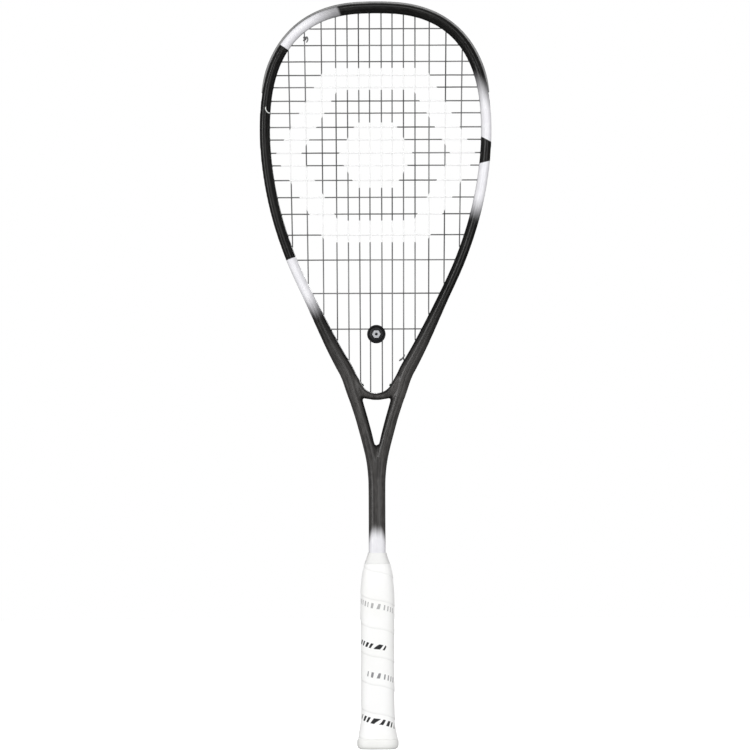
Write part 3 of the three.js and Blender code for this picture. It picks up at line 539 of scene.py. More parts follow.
@dataclass(frozen=True)
class LacquerFinish:
    """Charcoal carbon with sprayed white fields under a clear coat, and painted shade along the inner rim."""

    edges: tuple[PaintEdge, ...]
    carbon: Colour = (0.005, 0.0048, 0.0045)
    carbon_light: Colour = (0.014, 0.0136, 0.0127)
    throat: Colour = (0.032, 0.0303, 0.0292)
    throat_light: Colour = (0.068, 0.0645, 0.062)
    throat_reach: Pair = (0.33, 0.42)
    rim_shade_reach: Pair = (0.6, 3.4)  # painted shade darkens the carbon this near the inner rim
    rim_shade: float = 0.78
    # colour of the painted shade along the inner rim and the bridge's edges
    rim_shade_colour: Colour = (0.002, 0.002, 0.002)
    white: Colour = (0.77, 0.765, 0.80)
    white_light: Colour = (0.83, 0.825, 0.85)
    shaft_fade: Pair = (0.1925, 0.2065)
    shaft_lag: float = 0.010  # how much lower the fade lies at the shaft's edges
    shaft_drift: float = 0.006  # how far the flow shifts that fade
    streaks: Triple = (0.02, 0.9, 900.0)  # scales of the run, the way out and the depth
    flow: Triple = (0.004, 0.55, 500.0)
    mottle: Triple = (0.16, 0.28, 280.0)

    def grain(self, nodes: ShaderNodes, spot: Sequence[Any], scales: Triple, detail: float) -> Any:
        """Noise along the tube's own directions, with a scale for each."""
        parts = [nodes.times(value, scale) for value, scale in zip(spot, scales)]
        return nodes.noise(nodes.join(*parts), 1.0, detail)

    def shaft_white(self, nodes: ShaderNodes, x: Any, z: Any, shift: Any) -> Socket:
        """White below the fade on the shaft.

        Args:
            nodes: The material's nodes.
            x: Socket of the place across.
            z: Socket of the height.
            shift: Socket of the streaks that shift a fade.

        Returns:
            The share's socket.
        """
        edge_share = nodes.times(nodes.math("ABSOLUTE", x), 2 / (SHAFT_WIDTH * MM))
        lag = nodes.times(nodes.math("POWER", edge_share, 4.0), self.shaft_lag)
        drift = nodes.times(shift, self.shaft_drift)
        height = nodes.plus(nodes.plus(z, lag), drift)
        return nodes.step(height, *self.shaft_fade, (1.0, 0.0))

    def edge_white(self, nodes: ShaderNodes, edge: PaintEdge, run: Any, out: Any, shift: Any) -> Any:
        """White that one edge adds or takes along the hoop.

        Args:
            nodes: The material's nodes.
            edge: The edge.
            run: Socket of the distance from the crown.
            out: Socket of the distance from the tube's middle.
            shift: Socket of the streaks that shift a fade.

        Returns:
            The share's socket.
        """
        spot = nodes.minus(run, nodes.times(out, edge.slant))
        if edge.ragged:
            spot = nodes.plus(spot, nodes.times(shift, edge.ragged))
        change = edge.amount if edge.starts else -edge.amount
        return nodes.step(spot, edge.run - edge.width / 2, edge.run + edge.width / 2, (0.0, change))

    def material(self) -> bpy.types.Material:
        """Builds the lacquer from the attributes run, out and rim, and the height on the shaft."""
        nodes = ShaderNodes("carbon_lacquer")
        x, y, z = nodes.split(nodes.place())
        out = nodes.attribute("out")
        run = nodes.times(nodes.attribute("run"), nodes.math("SIGN", x))
        streak = self.grain(nodes, (run, out, y), self.streaks, 4.0)
        flow = self.grain(nodes, (run, out, y), self.flow, 2.0)
        mottle = self.grain(nodes, (run, out, y), self.mottle, 5.0)
        shift = nodes.minus(flow, 0.5)
        white = self.shaft_white(nodes, x, z, shift)
        for edge in self.edges:
            white = nodes.plus(white, self.edge_white(nodes, edge, run, out, shift))
        tone = nodes.plus(nodes.times(streak, 0.6), nodes.times(mottle, 0.4))
        grade = nodes.step(tone, 0.36, 0.66)
        dark = nodes.blend(
            nodes.step(z, *self.throat_reach), nodes.blend(grade, self.throat, self.throat_light),
            nodes.blend(grade, self.carbon, self.carbon_light))
        # Painted shade: the carbon is darkened near the inner rim and along the bridge's edges.
        rim = nodes.step(nodes.attribute("rim"), *self.rim_shade_reach, (self.rim_shade, 0.0))
        dark = nodes.blend(rim, dark, self.rim_shade_colour)
        pale = nodes.blend(nodes.step(mottle, 0.3, 0.7), self.white, self.white_light)
        nodes.bump(streak, 0.00002, 0.4)
        return nodes.end(
            Base_Color=nodes.blend(white, dark, pale),
            Roughness=nodes.step(mottle, 0.2, 0.8, (0.30, 0.42)),
            Specular_IOR_Level=nodes.step(rim, 0.0, 1.0, (0.5, 0.2)), Coat_Weight=0.3, Coat_Roughness=0.16)


@dataclass(frozen=True)
class PlasticFinish:
    """Moulded nylon with a fine grain, used for the bumper, the grommets, the cap and the damper."""

    name: str
    base: Colour
    worn: Colour
    roughness: float = 0.5
    grain: float = 0.00004
    grain_scale: float = 2200.0
    specular: float = 0.5

    def material(self) -> bpy.types.Material:
        """Builds the plastic with a moulded grain and rubbed patches."""
        nodes = ShaderNodes(self.name)
        place = nodes.place()
        patch = nodes.noise(place, 60.0, 4.0)
        grain = nodes.noise(place, self.grain_scale, 2.0)
        nodes.bump(grain, self.grain, 0.6)
        return nodes.end(
            Base_Color=nodes.blend(nodes.step(patch, 0.35, 0.75), self.base, self.worn),
            Roughness=nodes.step(patch, 0.3, 0.7, (self.roughness - 0.06, self.roughness + 0.08)),
            Specular_IOR_Level=self.specular)


@dataclass(frozen=True)
class StringFinish:
    """Wound filament string with a stencilled white hexagon across the bed."""

    centre_z: float
    half: float
    ring: float
    core: float
    dark: Colour = (0.050, 0.050, 0.051)
    pale: Colour = (0.23, 0.23, 0.232)
    ink: Colour = (0.90, 0.90, 0.90)
    edge: float = 0.0004  # half the width over which the ink ends
    winding: float = 0.0009  # pitch of the wound filaments

    def hexagon(self, nodes: ShaderNodes, x: Any, z: Any) -> Socket:
        """Distance from the mark's centre, measured to the sides of a hexagon.

        Args:
            nodes: The material's nodes.
            x: Socket of the place across the bed, from the mark's centre.
            z: Socket of the place up the bed.

        Returns:
            The distance's socket.
        """
        wide = nodes.math("ABSOLUTE", x)
        high = nodes.math("ABSOLUTE", z)
        lean = nodes.plus(nodes.times(wide, math.cos(math.pi / 6)), nodes.times(high, 0.5))
        return nodes.math("MAXIMUM", lean, high)

    def material(self) -> bpy.types.Material:
        """Builds the string with its winding and the stencil's ink on the front and back."""
        nodes = ShaderNodes("string_filament")
        x, _, z = nodes.split(nodes.place())
        reach = self.hexagon(nodes, x, nodes.minus(z, self.centre_z))
        outer = nodes.step(reach, self.half - self.edge, self.half + self.edge, (1.0, 0.0))
        inner = nodes.step(reach, self.ring - self.edge, self.ring + self.edge)
        core = nodes.step(reach, self.core - self.edge, self.core + self.edge, (1.0, 0.0))
        ink = nodes.math("MAXIMUM", nodes.times(outer, inner), core)
        along = nodes.attribute("along")
        wind = nodes.math("SINE", nodes.times(along, 2 * math.pi / self.winding))
        patch = nodes.noise(nodes.join(along, 0.0, 0.0), 7.0, 3.0)
        nodes.bump(wind, 0.00003, 0.5)
        body = nodes.blend(nodes.step(patch, 0.32, 0.68), self.dark, self.pale)
        return nodes.end(Base_Color=nodes.blend(ink, body, self.ink), Roughness=0.38, Specular_IOR_Level=0.45)


@dataclass(frozen=True)
class PrintRow:
    """One row of plain slanted dashes printed along the wound grip."""

    height: float  # of the row at the middle of the front, in millimetres
    half: float  # half the row's thickness, in millimetres
    start: float  # turn at which it starts
    end: float  # turn at which it ends
    ink: Colour
    period: float  # length of a dash and its gap, in millimetres
    fill: float  # largest share of the period that is printed
    lean: float  # slant of each dash


@dataclass(frozen=True)
class GripFinish:
    """White wound grip tape with a soft pebbled face and rows of printed dashes."""

    pitch: float
    girth: float
    rows: tuple[PrintRow, ...]
    base: Colour = (0.92, 0.92, 0.915)
    warm: Colour = (0.88, 0.878, 0.86)
    seam: Colour = (0.5, 0.5, 0.47)
    seam_shade: float = 0.14
    seam_width: float = 0.028  # share of a wind that the painted shade at each lap's edge takes on each side

    def material(self) -> bpy.types.Material:
        """Builds the tape from its UV map, where u is the turn and v counts the winds."""
        nodes = ShaderNodes("grip_wrap")
        place = nodes.place()
        u, v, _ = nodes.split(nodes.wrap())
        pebble = nodes.noise(place, 1500.0, 3.0)
        crease = nodes.noise(nodes.stretch(place, (1.0, 1.0, 2.4)), 190.0, 4.0)
        soil = nodes.noise(place, 26.0, 4.0)
        across = nodes.math("FRACT", v)
        under = nodes.step(across, 0.0, self.seam_width)
        over = nodes.step(across, 1 - self.seam_width, 1.0, (1.0, 0.0))
        # Painted shade along both edges of each lap, where one wind overlaps the next.
        seam = nodes.step(nodes.math("MINIMUM", under, over), 0.0, 1.0, (self.seam_shade, 0.0))
        colour = nodes.blend(nodes.step(soil, 0.35, 0.8), self.base, self.warm)
        colour = nodes.blend(seam, colour, self.seam)
        for row in self.rows:
            colour = nodes.blend(self.print_mask(nodes, u, v, row), colour, row.ink)
        nodes.bump(pebble, 0.00006, 0.5)
        nodes.bump(crease, 0.0002, 0.35)
        return nodes.end(
            Base_Color=colour, Roughness=nodes.step(soil, 0.3, 0.8, (0.62, 0.72)), Specular_IOR_Level=0.35,
            Sheen_Weight=0.55)

    def print_mask(self, nodes: ShaderNodes, u: Any, v: Any, row: PrintRow) -> Socket:
        """Where one row's dashes are printed, from 0 to 1.

        Args:
            nodes: The material's nodes.
            u: Socket of the turn.
            v: Socket of the count of winds.
            row: The row.

        Returns:
            The mask's socket.
        """
        half, soft = row.half / self.pitch, 0.002
        away = nodes.minus(v, row.height / self.pitch + FRONT_TURN)
        band = nodes.step(nodes.math("ABSOLUTE", away), half * 0.86, half * 1.1, (1.0, 0.0))
        reach = nodes.times(nodes.step(u, row.start - soft, row.start + soft),
                            nodes.step(u, row.end - soft, row.end + soft, (1.0, 0.0)))
        along = nodes.plus(nodes.times(u, self.girth / row.period),
                           nodes.times(away, -row.lean * self.pitch / row.period))
        number = nodes.math("FLOOR", along)
        part = nodes.minus(along, number)
        odd = nodes.add("ShaderNodeTexWhiteNoise", {"W": number}, noise_dimensions="1D").outputs[0]
        fill = nodes.step(odd, 0.0, 1.0, (row.fill * 0.6, row.fill))
        dash = nodes.step(nodes.minus(part, fill), -0.04, 0.04, (1.0, 0.0))
        return nodes.times(nodes.times(band, reach), dash)


@dataclass(frozen=True)
class FoamFinish:
    """Light open foam, for the pallets and the plugs."""

    name: str
    base: Colour
    pore_shade: Colour
    scale: float

    def material(self) -> bpy.types.Material:
        """Builds the foam with its cells, with painted shade in their hollows."""
        nodes = ShaderNodes(self.name)
        place = nodes.place()
        cells = nodes.add("ShaderNodeTexVoronoi", {"Vector": place, "Scale": self.scale})
        depth = cells.outputs["Distance"]
        nodes.bump(depth, 0.0002, 0.8)
        # Painted shade: the hollows of the cells are coloured darker.
        colour = nodes.blend(nodes.step(depth, 0.1, 0.7), self.pore_shade, self.base)
        return nodes.end(Base_Color=colour, Roughness=0.9)


@dataclass(frozen=True)
class SteelFinish:
    """Drawn steel wire for the staples."""

    name: str = "staple_wire"

    def material(self) -> bpy.types.Material:
        """Builds the wire with fine drawing lines."""
        nodes = ShaderNodes(self.name)
        lines = nodes.noise(nodes.stretch(nodes.place(), (2000.0, 60.0, 2000.0)), 1.0, 2.0)
        return nodes.end(
            Base_Color=nodes.blend(lines, (0.42, 0.42, 0.43), (0.60, 0.60, 0.61)),
            Metallic=1.0, Roughness=nodes.step(lines, 0.3, 0.7, (0.25, 0.4)))


# ---- The hoop's line ----


@dataclass
class Station:
    """One section of the tube."""

    stop: float  # distance along the line, from the left foot
    point: np.ndarray  # x and z of the tube's middle
    outward: np.ndarray  # direction away from the string bed
    half_face: float
    half_depth: float
    groove: float  # depth of the string groove
    shaft: float  # 1 on the shaft, 0 on the hoop

    def at(self, out: float, y: float) -> list[float]:
        """A point of this section, out from the tube's middle and y behind the string plane."""
        return [self.point[0] + self.outward[0] * out, y, self.point[1] + self.outward[1] * out]

    def ring(self, half: Any) -> list[list[float]]:
        """A closed ring from its back half, mirrored to the front.

        Args:
            half: (out, y) points of the back half.

        Returns:
            The ring's points.
        """
        back = [self.at(out, y) for out, y in half]
        front = [self.at(out, -y) for out, y in reversed(half) if y > 0]
        return back + front


@dataclass
class HoopLine:
    """The tube's centre line, from the left foot over the crown to the right foot."""

    arm_face: float = 14.6
    arm_face_low: float = 10.9
    crown_depth: float = 18.0
    arm_depth: float = 20.0
    groove_depth: float = 3.3
    groove_runout: float = 11.0
    groove_soft: float = 1.5
    face_soft: float = 10.0
    roundness: float = 2.56
    spacing: float = 2.5
    arm_points: Pairs = ((0.115, 0.298), (0.53, 0.671))
    flank_points: Pairs = (
        (0.062, 0.07), (0.154, 0.129), (0.24, 0.184), (0.48, 0.353), (0.706, 0.522), (0.87, 0.691),
        (0.964, 0.852))
    crown_steps: int = 9

    def __post_init__(self) -> None:
        """Samples the line finely and sets every section's sizes."""
        right = self.right_half()
        left = [(-x, z) for x, z in right[:-1]]
        points = self.centripetal(np.array(left + right[::-1]))
        steps = np.linalg.norm(np.diff(points, axis=0), axis=1)
        stops = np.concatenate([[0.0], np.cumsum(steps)])
        count = int(round(stops[-1] / self.spacing / 2)) * 2
        even = np.linspace(0.0, stops[-1], count + 1)
        xs, zs = np.interp(even, stops, points[:, 0]), np.interp(even, stops, points[:, 1])
        self.length = float(stops[-1])
        self.stop, self.x, self.z = even, xs, zs
        tangents = np.gradient(np.stack([xs, zs], 1), axis=0)
        tangents /= np.linalg.norm(tangents, axis=1)[:, None]
        leg = zs <= SHAFT_TOP_Z
        self.x = np.where(leg, np.sign(xs) * LEG_X, xs)
        self.ox = np.where(leg, np.sign(xs), -tangents[:, 1])
        self.oz = np.where(leg, 0.0, tangents[:, 0])
        self.half_face = self.smooth(self.face_width(zs), self.face_soft) / 2
        self.half_depth = self.smooth(self.tube_depth(zs)) / 2
        self.groove = self.smooth(self.groove_at(zs), self.groove_soft)
        self.shaft = np.interp(zs, [SHAFT_TOP_Z, BRIDGE_Z], [1.0, 0.0])
        self.stations: list[Station] = [self.station(stop) for stop in even]

    def right_half(self) -> list[Pair]:
        """Points of the right half, from the foot of the shaft to the crown."""
        arm_x = THROAT_WIDTH / 2
        points = [(LEG_X, TUBE_FOOT_Z), (LEG_X, SHAFT_TOP_Z - 40), (LEG_X, SHAFT_TOP_Z)]
        for across, up in self.arm_points:
            points.append((mix(LEG_X, arm_x, across), mix(SHAFT_TOP_Z, BRIDGE_Z, up)))
        points.append((arm_x, BRIDGE_Z))
        for across, up in self.flank_points:
            points.append((mix(arm_x, HEAD_HALF, across), mix(BRIDGE_Z, WIDEST_Z, up)))
        for step in range(self.crown_steps + 1):
            angle = step / self.crown_steps * math.pi / 2
            x = 0.0 if step == self.crown_steps else HEAD_HALF * math.cos(angle) ** (2 / self.roundness)
            z = WIDEST_Z + (CROWN_Z - WIDEST_Z) * math.sin(angle) ** (2 / self.roundness)
            points.append((x, z))
        return points

    @staticmethod
    def centripetal(points: np.ndarray, samples: int = 24) -> np.ndarray:
        """A centripetal Catmull-Rom curve.

        Args:
            points: The points that it passes through.
            samples: Steps from each point to the next.

        Returns:
            The fine row of points.
        """
        whole = np.vstack([2 * points[0] - points[1], points, 2 * points[-1] - points[-2]])
        out = []
        for row in range(1, len(whole) - 2):
            a, b, c, d = whole[row - 1:row + 3]
            gaps = [max(1e-4, float(np.linalg.norm(q - p)) ** 0.5) for p, q in ((a, b), (b, c), (c, d))]
            start = (b - a) / gaps[0] - (c - a) / (gaps[0] + gaps[1]) + (c - b) / gaps[1]
            finish = (c - b) / gaps[1] - (d - b) / (gaps[1] + gaps[2]) + (d - c) / gaps[2]
            start, finish = start * gaps[1], finish * gaps[1]
            for t in np.linspace(0, 1, samples, endpoint=False):
                out.append(b + start * t + (-3 * b + 3 * c - 2 * start - finish) * t ** 2
                           + (2 * b - 2 * c + start + finish) * t ** 3)
        out.append(whole[-2])
        return np.array(out)

    def smooth(self, values: np.ndarray, spread: float = 6.0) -> np.ndarray:
        """Rounds off the corners of a row of sizes.

        Args:
            values: A size for each station.
            spread: Reach of the rounding, in millimetres.

        Returns:
            The rounded sizes.
        """
        reach = int(3 * spread / self.spacing)
        kernel = np.exp(-0.5 * (np.arange(-reach, reach + 1) * self.spacing / spread) ** 2)
        padded = np.pad(values, reach, mode="edge")
        return np.convolve(padded, kernel / kernel.sum(), mode="valid")

    def face_width(self, z: np.ndarray) -> np.ndarray:
        """Width of the tube seen from the front, at heights."""
        low, thin, face = SHAFT_WIDTH / 2, self.arm_face_low, self.arm_face
        return trace(z, (
            (SHAFT_TOP_Z, low), (SHAFT_TOP_Z + 0.2 * THROAT_LENGTH, mix(low, thin, 0.3)),
            (SHAFT_TOP_Z + 0.38 * THROAT_LENGTH, thin), (BRIDGE_Z - 9, thin), (BRIDGE_Z + 15, face),
            (BRIDGE_Z + 45, mix(face, SIDE_FACE, 0.42)), (BRIDGE_Z + 73, mix(face, SIDE_FACE, 0.8)),
            (BRIDGE_Z + 90, SIDE_FACE), (WIDEST_Z, SIDE_FACE), (CROWN_Z, CROWN_FACE)))

    def tube_depth(self, z: np.ndarray) -> np.ndarray:
        """Depth of the tube from front to back, at heights."""
        return trace(z, (
            (SHAFT_TOP_Z, SHAFT_DEPTH), (SHAFT_TOP_Z + 0.5 * THROAT_LENGTH, self.arm_depth),
            (BRIDGE_Z + 45, self.arm_depth), (CROWN_Z, self.crown_depth)))

    def groove_at(self, z: np.ndarray) -> np.ndarray:
        """Depth of the string groove, at heights."""
        return trace(z, ((BRIDGE_Z - self.groove_runout, 0.0), (BRIDGE_Z, self.groove_depth)))

    def station(self, stop: float) -> Station:
        """One section of the tube.

        Args:
            stop: Its distance along the line.

        Returns:
            The section.
        """
        def value(row: np.ndarray) -> float:
            """Value at the distance, of a row with one value for each station."""
            return float(np.interp(stop, self.stop, row))

        return Station(
            stop, np.array([value(self.x), value(self.z)]), np.array([value(self.ox), value(self.oz)]),
            value(self.half_face), value(self.half_depth), value(self.groove), value(self.shaft))

    def run(self, stop: float) -> float:
        """Distance from the crown, negative on the left."""
        return stop - self.length / 2

    def stop_where(
            self, axis: int, value: float, fits: Callable[[Station], bool], out: float = -1.0) -> float:
        """Distance at which an edge of the tube crosses a place.

        Args:
            axis: 0 for x, 1 for the height.
            value: The place, in millimetres.
            fits: Test that picks the right one of several crossings.
            out: -1 for the inner edge, 1 for the outer edge, 0 for the centre line.

        Returns:
            The distance along the line.
        """
        line = (self.x, self.z)[axis] + (self.ox, self.oz)[axis] * self.half_face * out
        for row in range(1, len(line)):
            low, high = line[row - 1] - value, line[row] - value
            if low * high <= 0 and low != high:
                stop = mix(self.stop[row - 1], self.stop[row], low / (low - high))
                if fits(self.station(stop)):
                    return stop
        raise ValueError(f"the tube never reaches {value}")

    def span(self, start: float, end: float) -> list[Station]:
        """The sections between two distances, with one at each end."""
        inside = [s for s in self.stations if start + 0.5 < s.stop < end - 0.5]
        return [self.station(start), *inside, self.station(end)]


def on(side: Side, upper: bool | None = None) -> Callable[[Station], bool]:
    """A test for sections on one side, and above or below the widest place."""
    def fits(station: Station) -> bool:
        """Whether a section lies there."""
        right_side = station.point[0] * side.value > 0
        return right_side and (upper is None or (station.point[1] > WIDEST_Z) == upper)
    return fits


# ---- Frame ----


@dataclass
class CarbonFrame:
    """Hoop, arms, bridge and shaft as one moulded skin."""

    line: HoopLine
    groove_mouth: float = 7.6
    groove_floor: float = 6.8
    groove_lip: float = 0.8  # width over which the bridge's groove gets deep
    bridge_thickness: float = 6.6
    bridge_depth: float = 17.0
    bridge_bow: float = 2.0
    bridge_groove: float = 3.0
    bridge_powers: Pair = (0.55, 0.7)  # how square its section is, in depth and height
    arch_rise: float = 16.5
    arch_over: float = 0.6  # how far the bridge runs into each arm
    arch_round: float = 15.3
    arch_slope: float = 1.84  # of the arch's straight ends
    web_round: float = 2.7
    web_depth: float = 13.0
    web_soft: float = 1.2
    rim_foot: float = 0.45  # share of the throat's length below which the painted shade along the inner rim fades out
    rim_slope: float = 0.3
    voxel: float = 1.02
    relax_rounds: int = 12

    def __post_init__(self) -> None:
        """Works out the arch from the space between the arms."""
        self.arch_half = self.half_gap(BRIDGE_Z + self.arch_rise) + self.arch_over
        self.underside_half = self.half_gap(BRIDGE_Z - self.bridge_thickness)

    def half_gap(self, z: float) -> float:
        """Half of the clear space between the arms at a height."""
        stop = self.line.stop_where(1, z, on(Side.RIGHT, False))
        station = self.line.station(stop)
        return station.at(-station.half_face, 0.0)[0]

    def underside(self, x: Any) -> Any:
        """Height of the bridge's underside."""
        return BRIDGE_Z - self.bridge_thickness + self.bridge_bow * (x / self.underside_half) ** 2

    def arch(self, x: Any) -> Any:
        """Height of the arch above the bridge, round at the bottom with straight ends."""
        tangent = self.arch_round * self.arch_slope / math.hypot(1.0, self.arch_slope)
        inside = np.minimum(np.abs(x), tangent)
        dip = self.arch_round - np.sqrt(self.arch_round ** 2 - inside ** 2)
        return BRIDGE_Z + dip + self.arch_slope * (np.abs(x) - inside)

    def section(self, station: Station) -> list[Pair]:
        """The back half of the tube's section.

        Args:
            station: Place of the section, with its sizes.

        Returns:
            (out, y) points, from the groove's floor to the inner edge.
        """
        a, b, g, share = station.half_face, station.half_depth, station.groove, station.shaft
        hoop = [(a, self.groove_mouth / 2), (a, 0.58 * b), (0.74 * a, 0.86 * b), (0.34 * a, b),
                (-0.1 * a, 0.985 * b), (-0.45 * a, 0.89 * b), (-0.85 * a, 0.66 * b), (-a, 0.4 * b),
                (-a - 0.15, 0.0)]
        shaft = [(a, 0.42 * b), (0.95 * a, 0.55 * b), (0.78 * a, 0.7 * b), (0.5 * a, 0.85 * b),
                 (0.1 * a, 0.96 * b), (-0.4 * a, b), (-0.7 * a, b), (-a - 0.05, b), (-a - 0.1, 0.0)]
        chain = [(mix(p[0], q[0], share), mix(p[1], q[1], share)) for p, q in zip(hoop, shaft)]
        floor = [(a - g, 0.0), (a - g, mix(self.groove_floor / 2, 0.2 * b, share))]
        return floor + [tuple(point) for point in spline(chain, 3)]

    def tube_skin(self) -> Skin:
        """The two halves of the tube, each from its foot to just past the crown."""
        middle = len(self.line.stations) // 2
        halves = (self.line.stations[:middle + 2], self.line.stations[middle - 1:])
        return gather([loft([station.ring(self.section(station)) for station in half]) for half in halves])

    def web_skin(self) -> Skin:
        """The web that closes the lower end of the throat, with its rounded top."""
        top = BRIDGE_Z - self.bridge_thickness
        while self.half_gap(top) > self.web_round:
            top -= CLEARANCE
        half, soft, steps = self.web_depth / 2, self.web_soft, 24
        rings = []
        for step in range(steps + 1):
            x = 2 * self.web_round * mix(-1, 1, step / steps)
            high = top - math.sqrt(max(0.0, self.web_round ** 2 - x * x))
            rings.append([[x, -half, SHAFT_TOP_Z], [x, half, SHAFT_TOP_Z], [x, half, high - soft],
                          [x, half - soft, high], [x, -half + soft, high], [x, -half, high - soft]])
        return loft(rings)

    def bridge_skin(self) -> Skin:
        """The bridge, with its arch above and its groove below, running into both arms."""
        rings, steps, corners = [], 48, 48
        power_y, power_z = self.bridge_powers
        for step in range(steps + 1):
            x = self.arch_half * math.sin(mix(-math.pi / 2, math.pi / 2, step / steps))
            low, high = self.underside(x), self.arch(x)
            middle, half = (low + high) / 2, (high - low) / 2
            ring = []
            for corner in range(corners):
                angle = 2 * math.pi * (corner + 0.5) / corners
                y = self.bridge_depth / 2 * signed_power(math.cos(angle), power_y)
                z = middle + half * signed_power(math.sin(angle), power_z)
                if math.sin(angle) < 0 and abs(y) < self.groove_floor / 2:
                    z += self.bridge_groove * min(1.0, (self.groove_floor / 2 - abs(y)) / self.groove_lip)
                ring.append([x, y, z])
            rings.append(ring)
        return loft(rings)

    def build(self) -> Piece:
        """Makes the skin, joins it into one surface and stores the paint's coordinates."""
        piece = mesh_object("racket_frame", *gather([self.tube_skin(), self.bridge_skin(), self.web_skin()]))
        remesh = piece.modifiers.new("one_skin", "REMESH")
        remesh.mode = "VOXEL"
        remesh.voxel_size = self.voxel * MM
        relax = piece.modifiers.new("relax", "SMOOTH")
        relax.factor, relax.iterations = 0.5, self.relax_rounds
        graph = bpy.context.evaluated_depsgraph_get()
        mesh = bpy.data.meshes.new_from_object(piece.evaluated_get(graph), depsgraph=graph)
        old = piece.data
        piece.modifiers.clear()
        piece.data = mesh
        bpy.data.meshes.remove(old)
        mesh.name = "racket_frame"
        mesh.shade_smooth()
        self.store_run(mesh)
        return piece

    def bridge_rims(self, across: np.ndarray, height: np.ndarray, rims: np.ndarray) -> np.ndarray:
        """Distances from the rim for the painted shade, with the bridge's own rims and none below the throat.

        Args:
            across: Distance of each vertex from the middle.
            height: Its height.
            rims: Its distance from the tube's inner edge.

        Returns:
            The distances, in millimetres.
        """
        arch, under = self.arch(across), self.underside(across)
        on_bridge = (across < self.arch_half) & (height > under - 1.0) & (height < arch + 1.0)
        below = np.hypot(np.maximum(0.0, height - under), np.maximum(0.0, across - self.underside_half))
        rims = np.where(on_bridge, np.minimum(arch - height, below), rims)
        foot = SHAFT_TOP_Z + self.rim_foot * THROAT_LENGTH
        return rims + self.rim_slope * np.maximum(0.0, foot - height)

    def store_run(self, mesh: bpy.types.Mesh) -> None:
        """Stores each vertex's distance from the crown, the tube's middle and the inner rim.

        Args:
            mesh: The skin, in metres.
        """
        count, batch = len(mesh.vertices), 4000
        flat = np.zeros(count * 3, np.float32)
        mesh.vertices.foreach_get("co", flat)
        places = flat.reshape(-1, 3)[:, [0, 2]] / MM
        runs, outs, rims = np.zeros(count), np.zeros(count), np.zeros(count)
        stations = np.stack([self.line.x, self.line.z], 1)
        outward = np.stack([self.line.ox, self.line.oz], 1)
        along = np.stack([outward[:, 1], -outward[:, 0]], 1)
        for side in Side:
            mine = np.where(np.sign(places[:, 0] + 1e-9) == side.value)[0]
            theirs = np.where(stations[:, 0] * side.value >= -1e-6)[0]
            for start in range(0, len(mine), batch):
                some = mine[start:start + batch]
                gaps = places[some][:, None, :] - stations[theirs][None, :, :]
                near = theirs[np.argmin((gaps ** 2).sum(2), 1)]
                offset = places[some] - stations[near]
                outs[some] = (offset * outward[near]).sum(1)
                rims[some] = outs[some] + self.line.half_face[near]
                stops = self.line.stop[near] + (offset * along[near]).sum(1)
                runs[some] = np.abs(stops - self.line.length / 2)
        rims = self.bridge_rims(np.abs(places[:, 0]), places[:, 1], rims)
        for name, values in (("run", runs), ("out", outs), ("rim", rims)):
            layer = mesh.attributes.new(name, "FLOAT", "POINT")
            layer.data.foreach_set("value", values.astype(np.float32))

    def paint(self) -> tuple[PaintEdge, ...]:
        """The edges of the white fields, from the left foot to the right foot."""
        line = self.line

        def run_at(side: Side, z: float) -> float:
            """Distance from the crown to a height on one side."""
            return line.run(line.stop_where(1, z, on(side), 0.0))

        def crown_at(x: float) -> float:
            """Distance from the crown to a place across it, on the left."""
            return line.run(line.stop_where(0, x, on(Side.LEFT, True), 0.0))

        return (
            PaintEdge(run_at(Side.LEFT, 406.5), 28.0, True, ragged=12.0),
            PaintEdge(run_at(Side.LEFT, 450.2), 0.7, False),
            PaintEdge(run_at(Side.LEFT, 644.2), 0.7, True),
            PaintEdge(crown_at(-49.0), 34.0, False, ragged=8.0, amount=0.62),
            PaintEdge(crown_at(-33.5), 3.0, False, slant=-0.2, amount=0.38),
            PaintEdge(run_at(Side.RIGHT, 603.0), 38.0, True, slant=1.6, ragged=14.0),
            PaintEdge(run_at(Side.RIGHT, 559.0), 0.7, False, slant=0.5),
            PaintEdge(run_at(Side.RIGHT, 538.1), 0.7, True, slant=-0.36),
            PaintEdge(run_at(Side.RIGHT, 495.0), 26.0, False, ragged=14.0),
        )

    def assemble(self) -> None:
        """Builds the skin, gives it its lacquer and ties it to the frame."""
        skin = self.build()
        dress(skin, LacquerFinish(self.paint()).material())
        register(skin, Body.RACKET, "carbon_paint", "frame_tube", "throat_bridge")


# ---- Stringing ----


@dataclass
class Hole:
    """A string hole, from its mouth inside the hoop to the groove's floor."""

    lane: float  # y of its axis
    stop: float | None = None  # distance along the tube, or None in the bridge
    mouth: np.ndarray | None = None
    floor: np.ndarray | None = None
    outward: np.ndarray | None = None

    def above(self, height: float) -> np.ndarray:
        """The point of the hole's axis at a height above the groove's floor."""
        return self.floor + self.outward * height


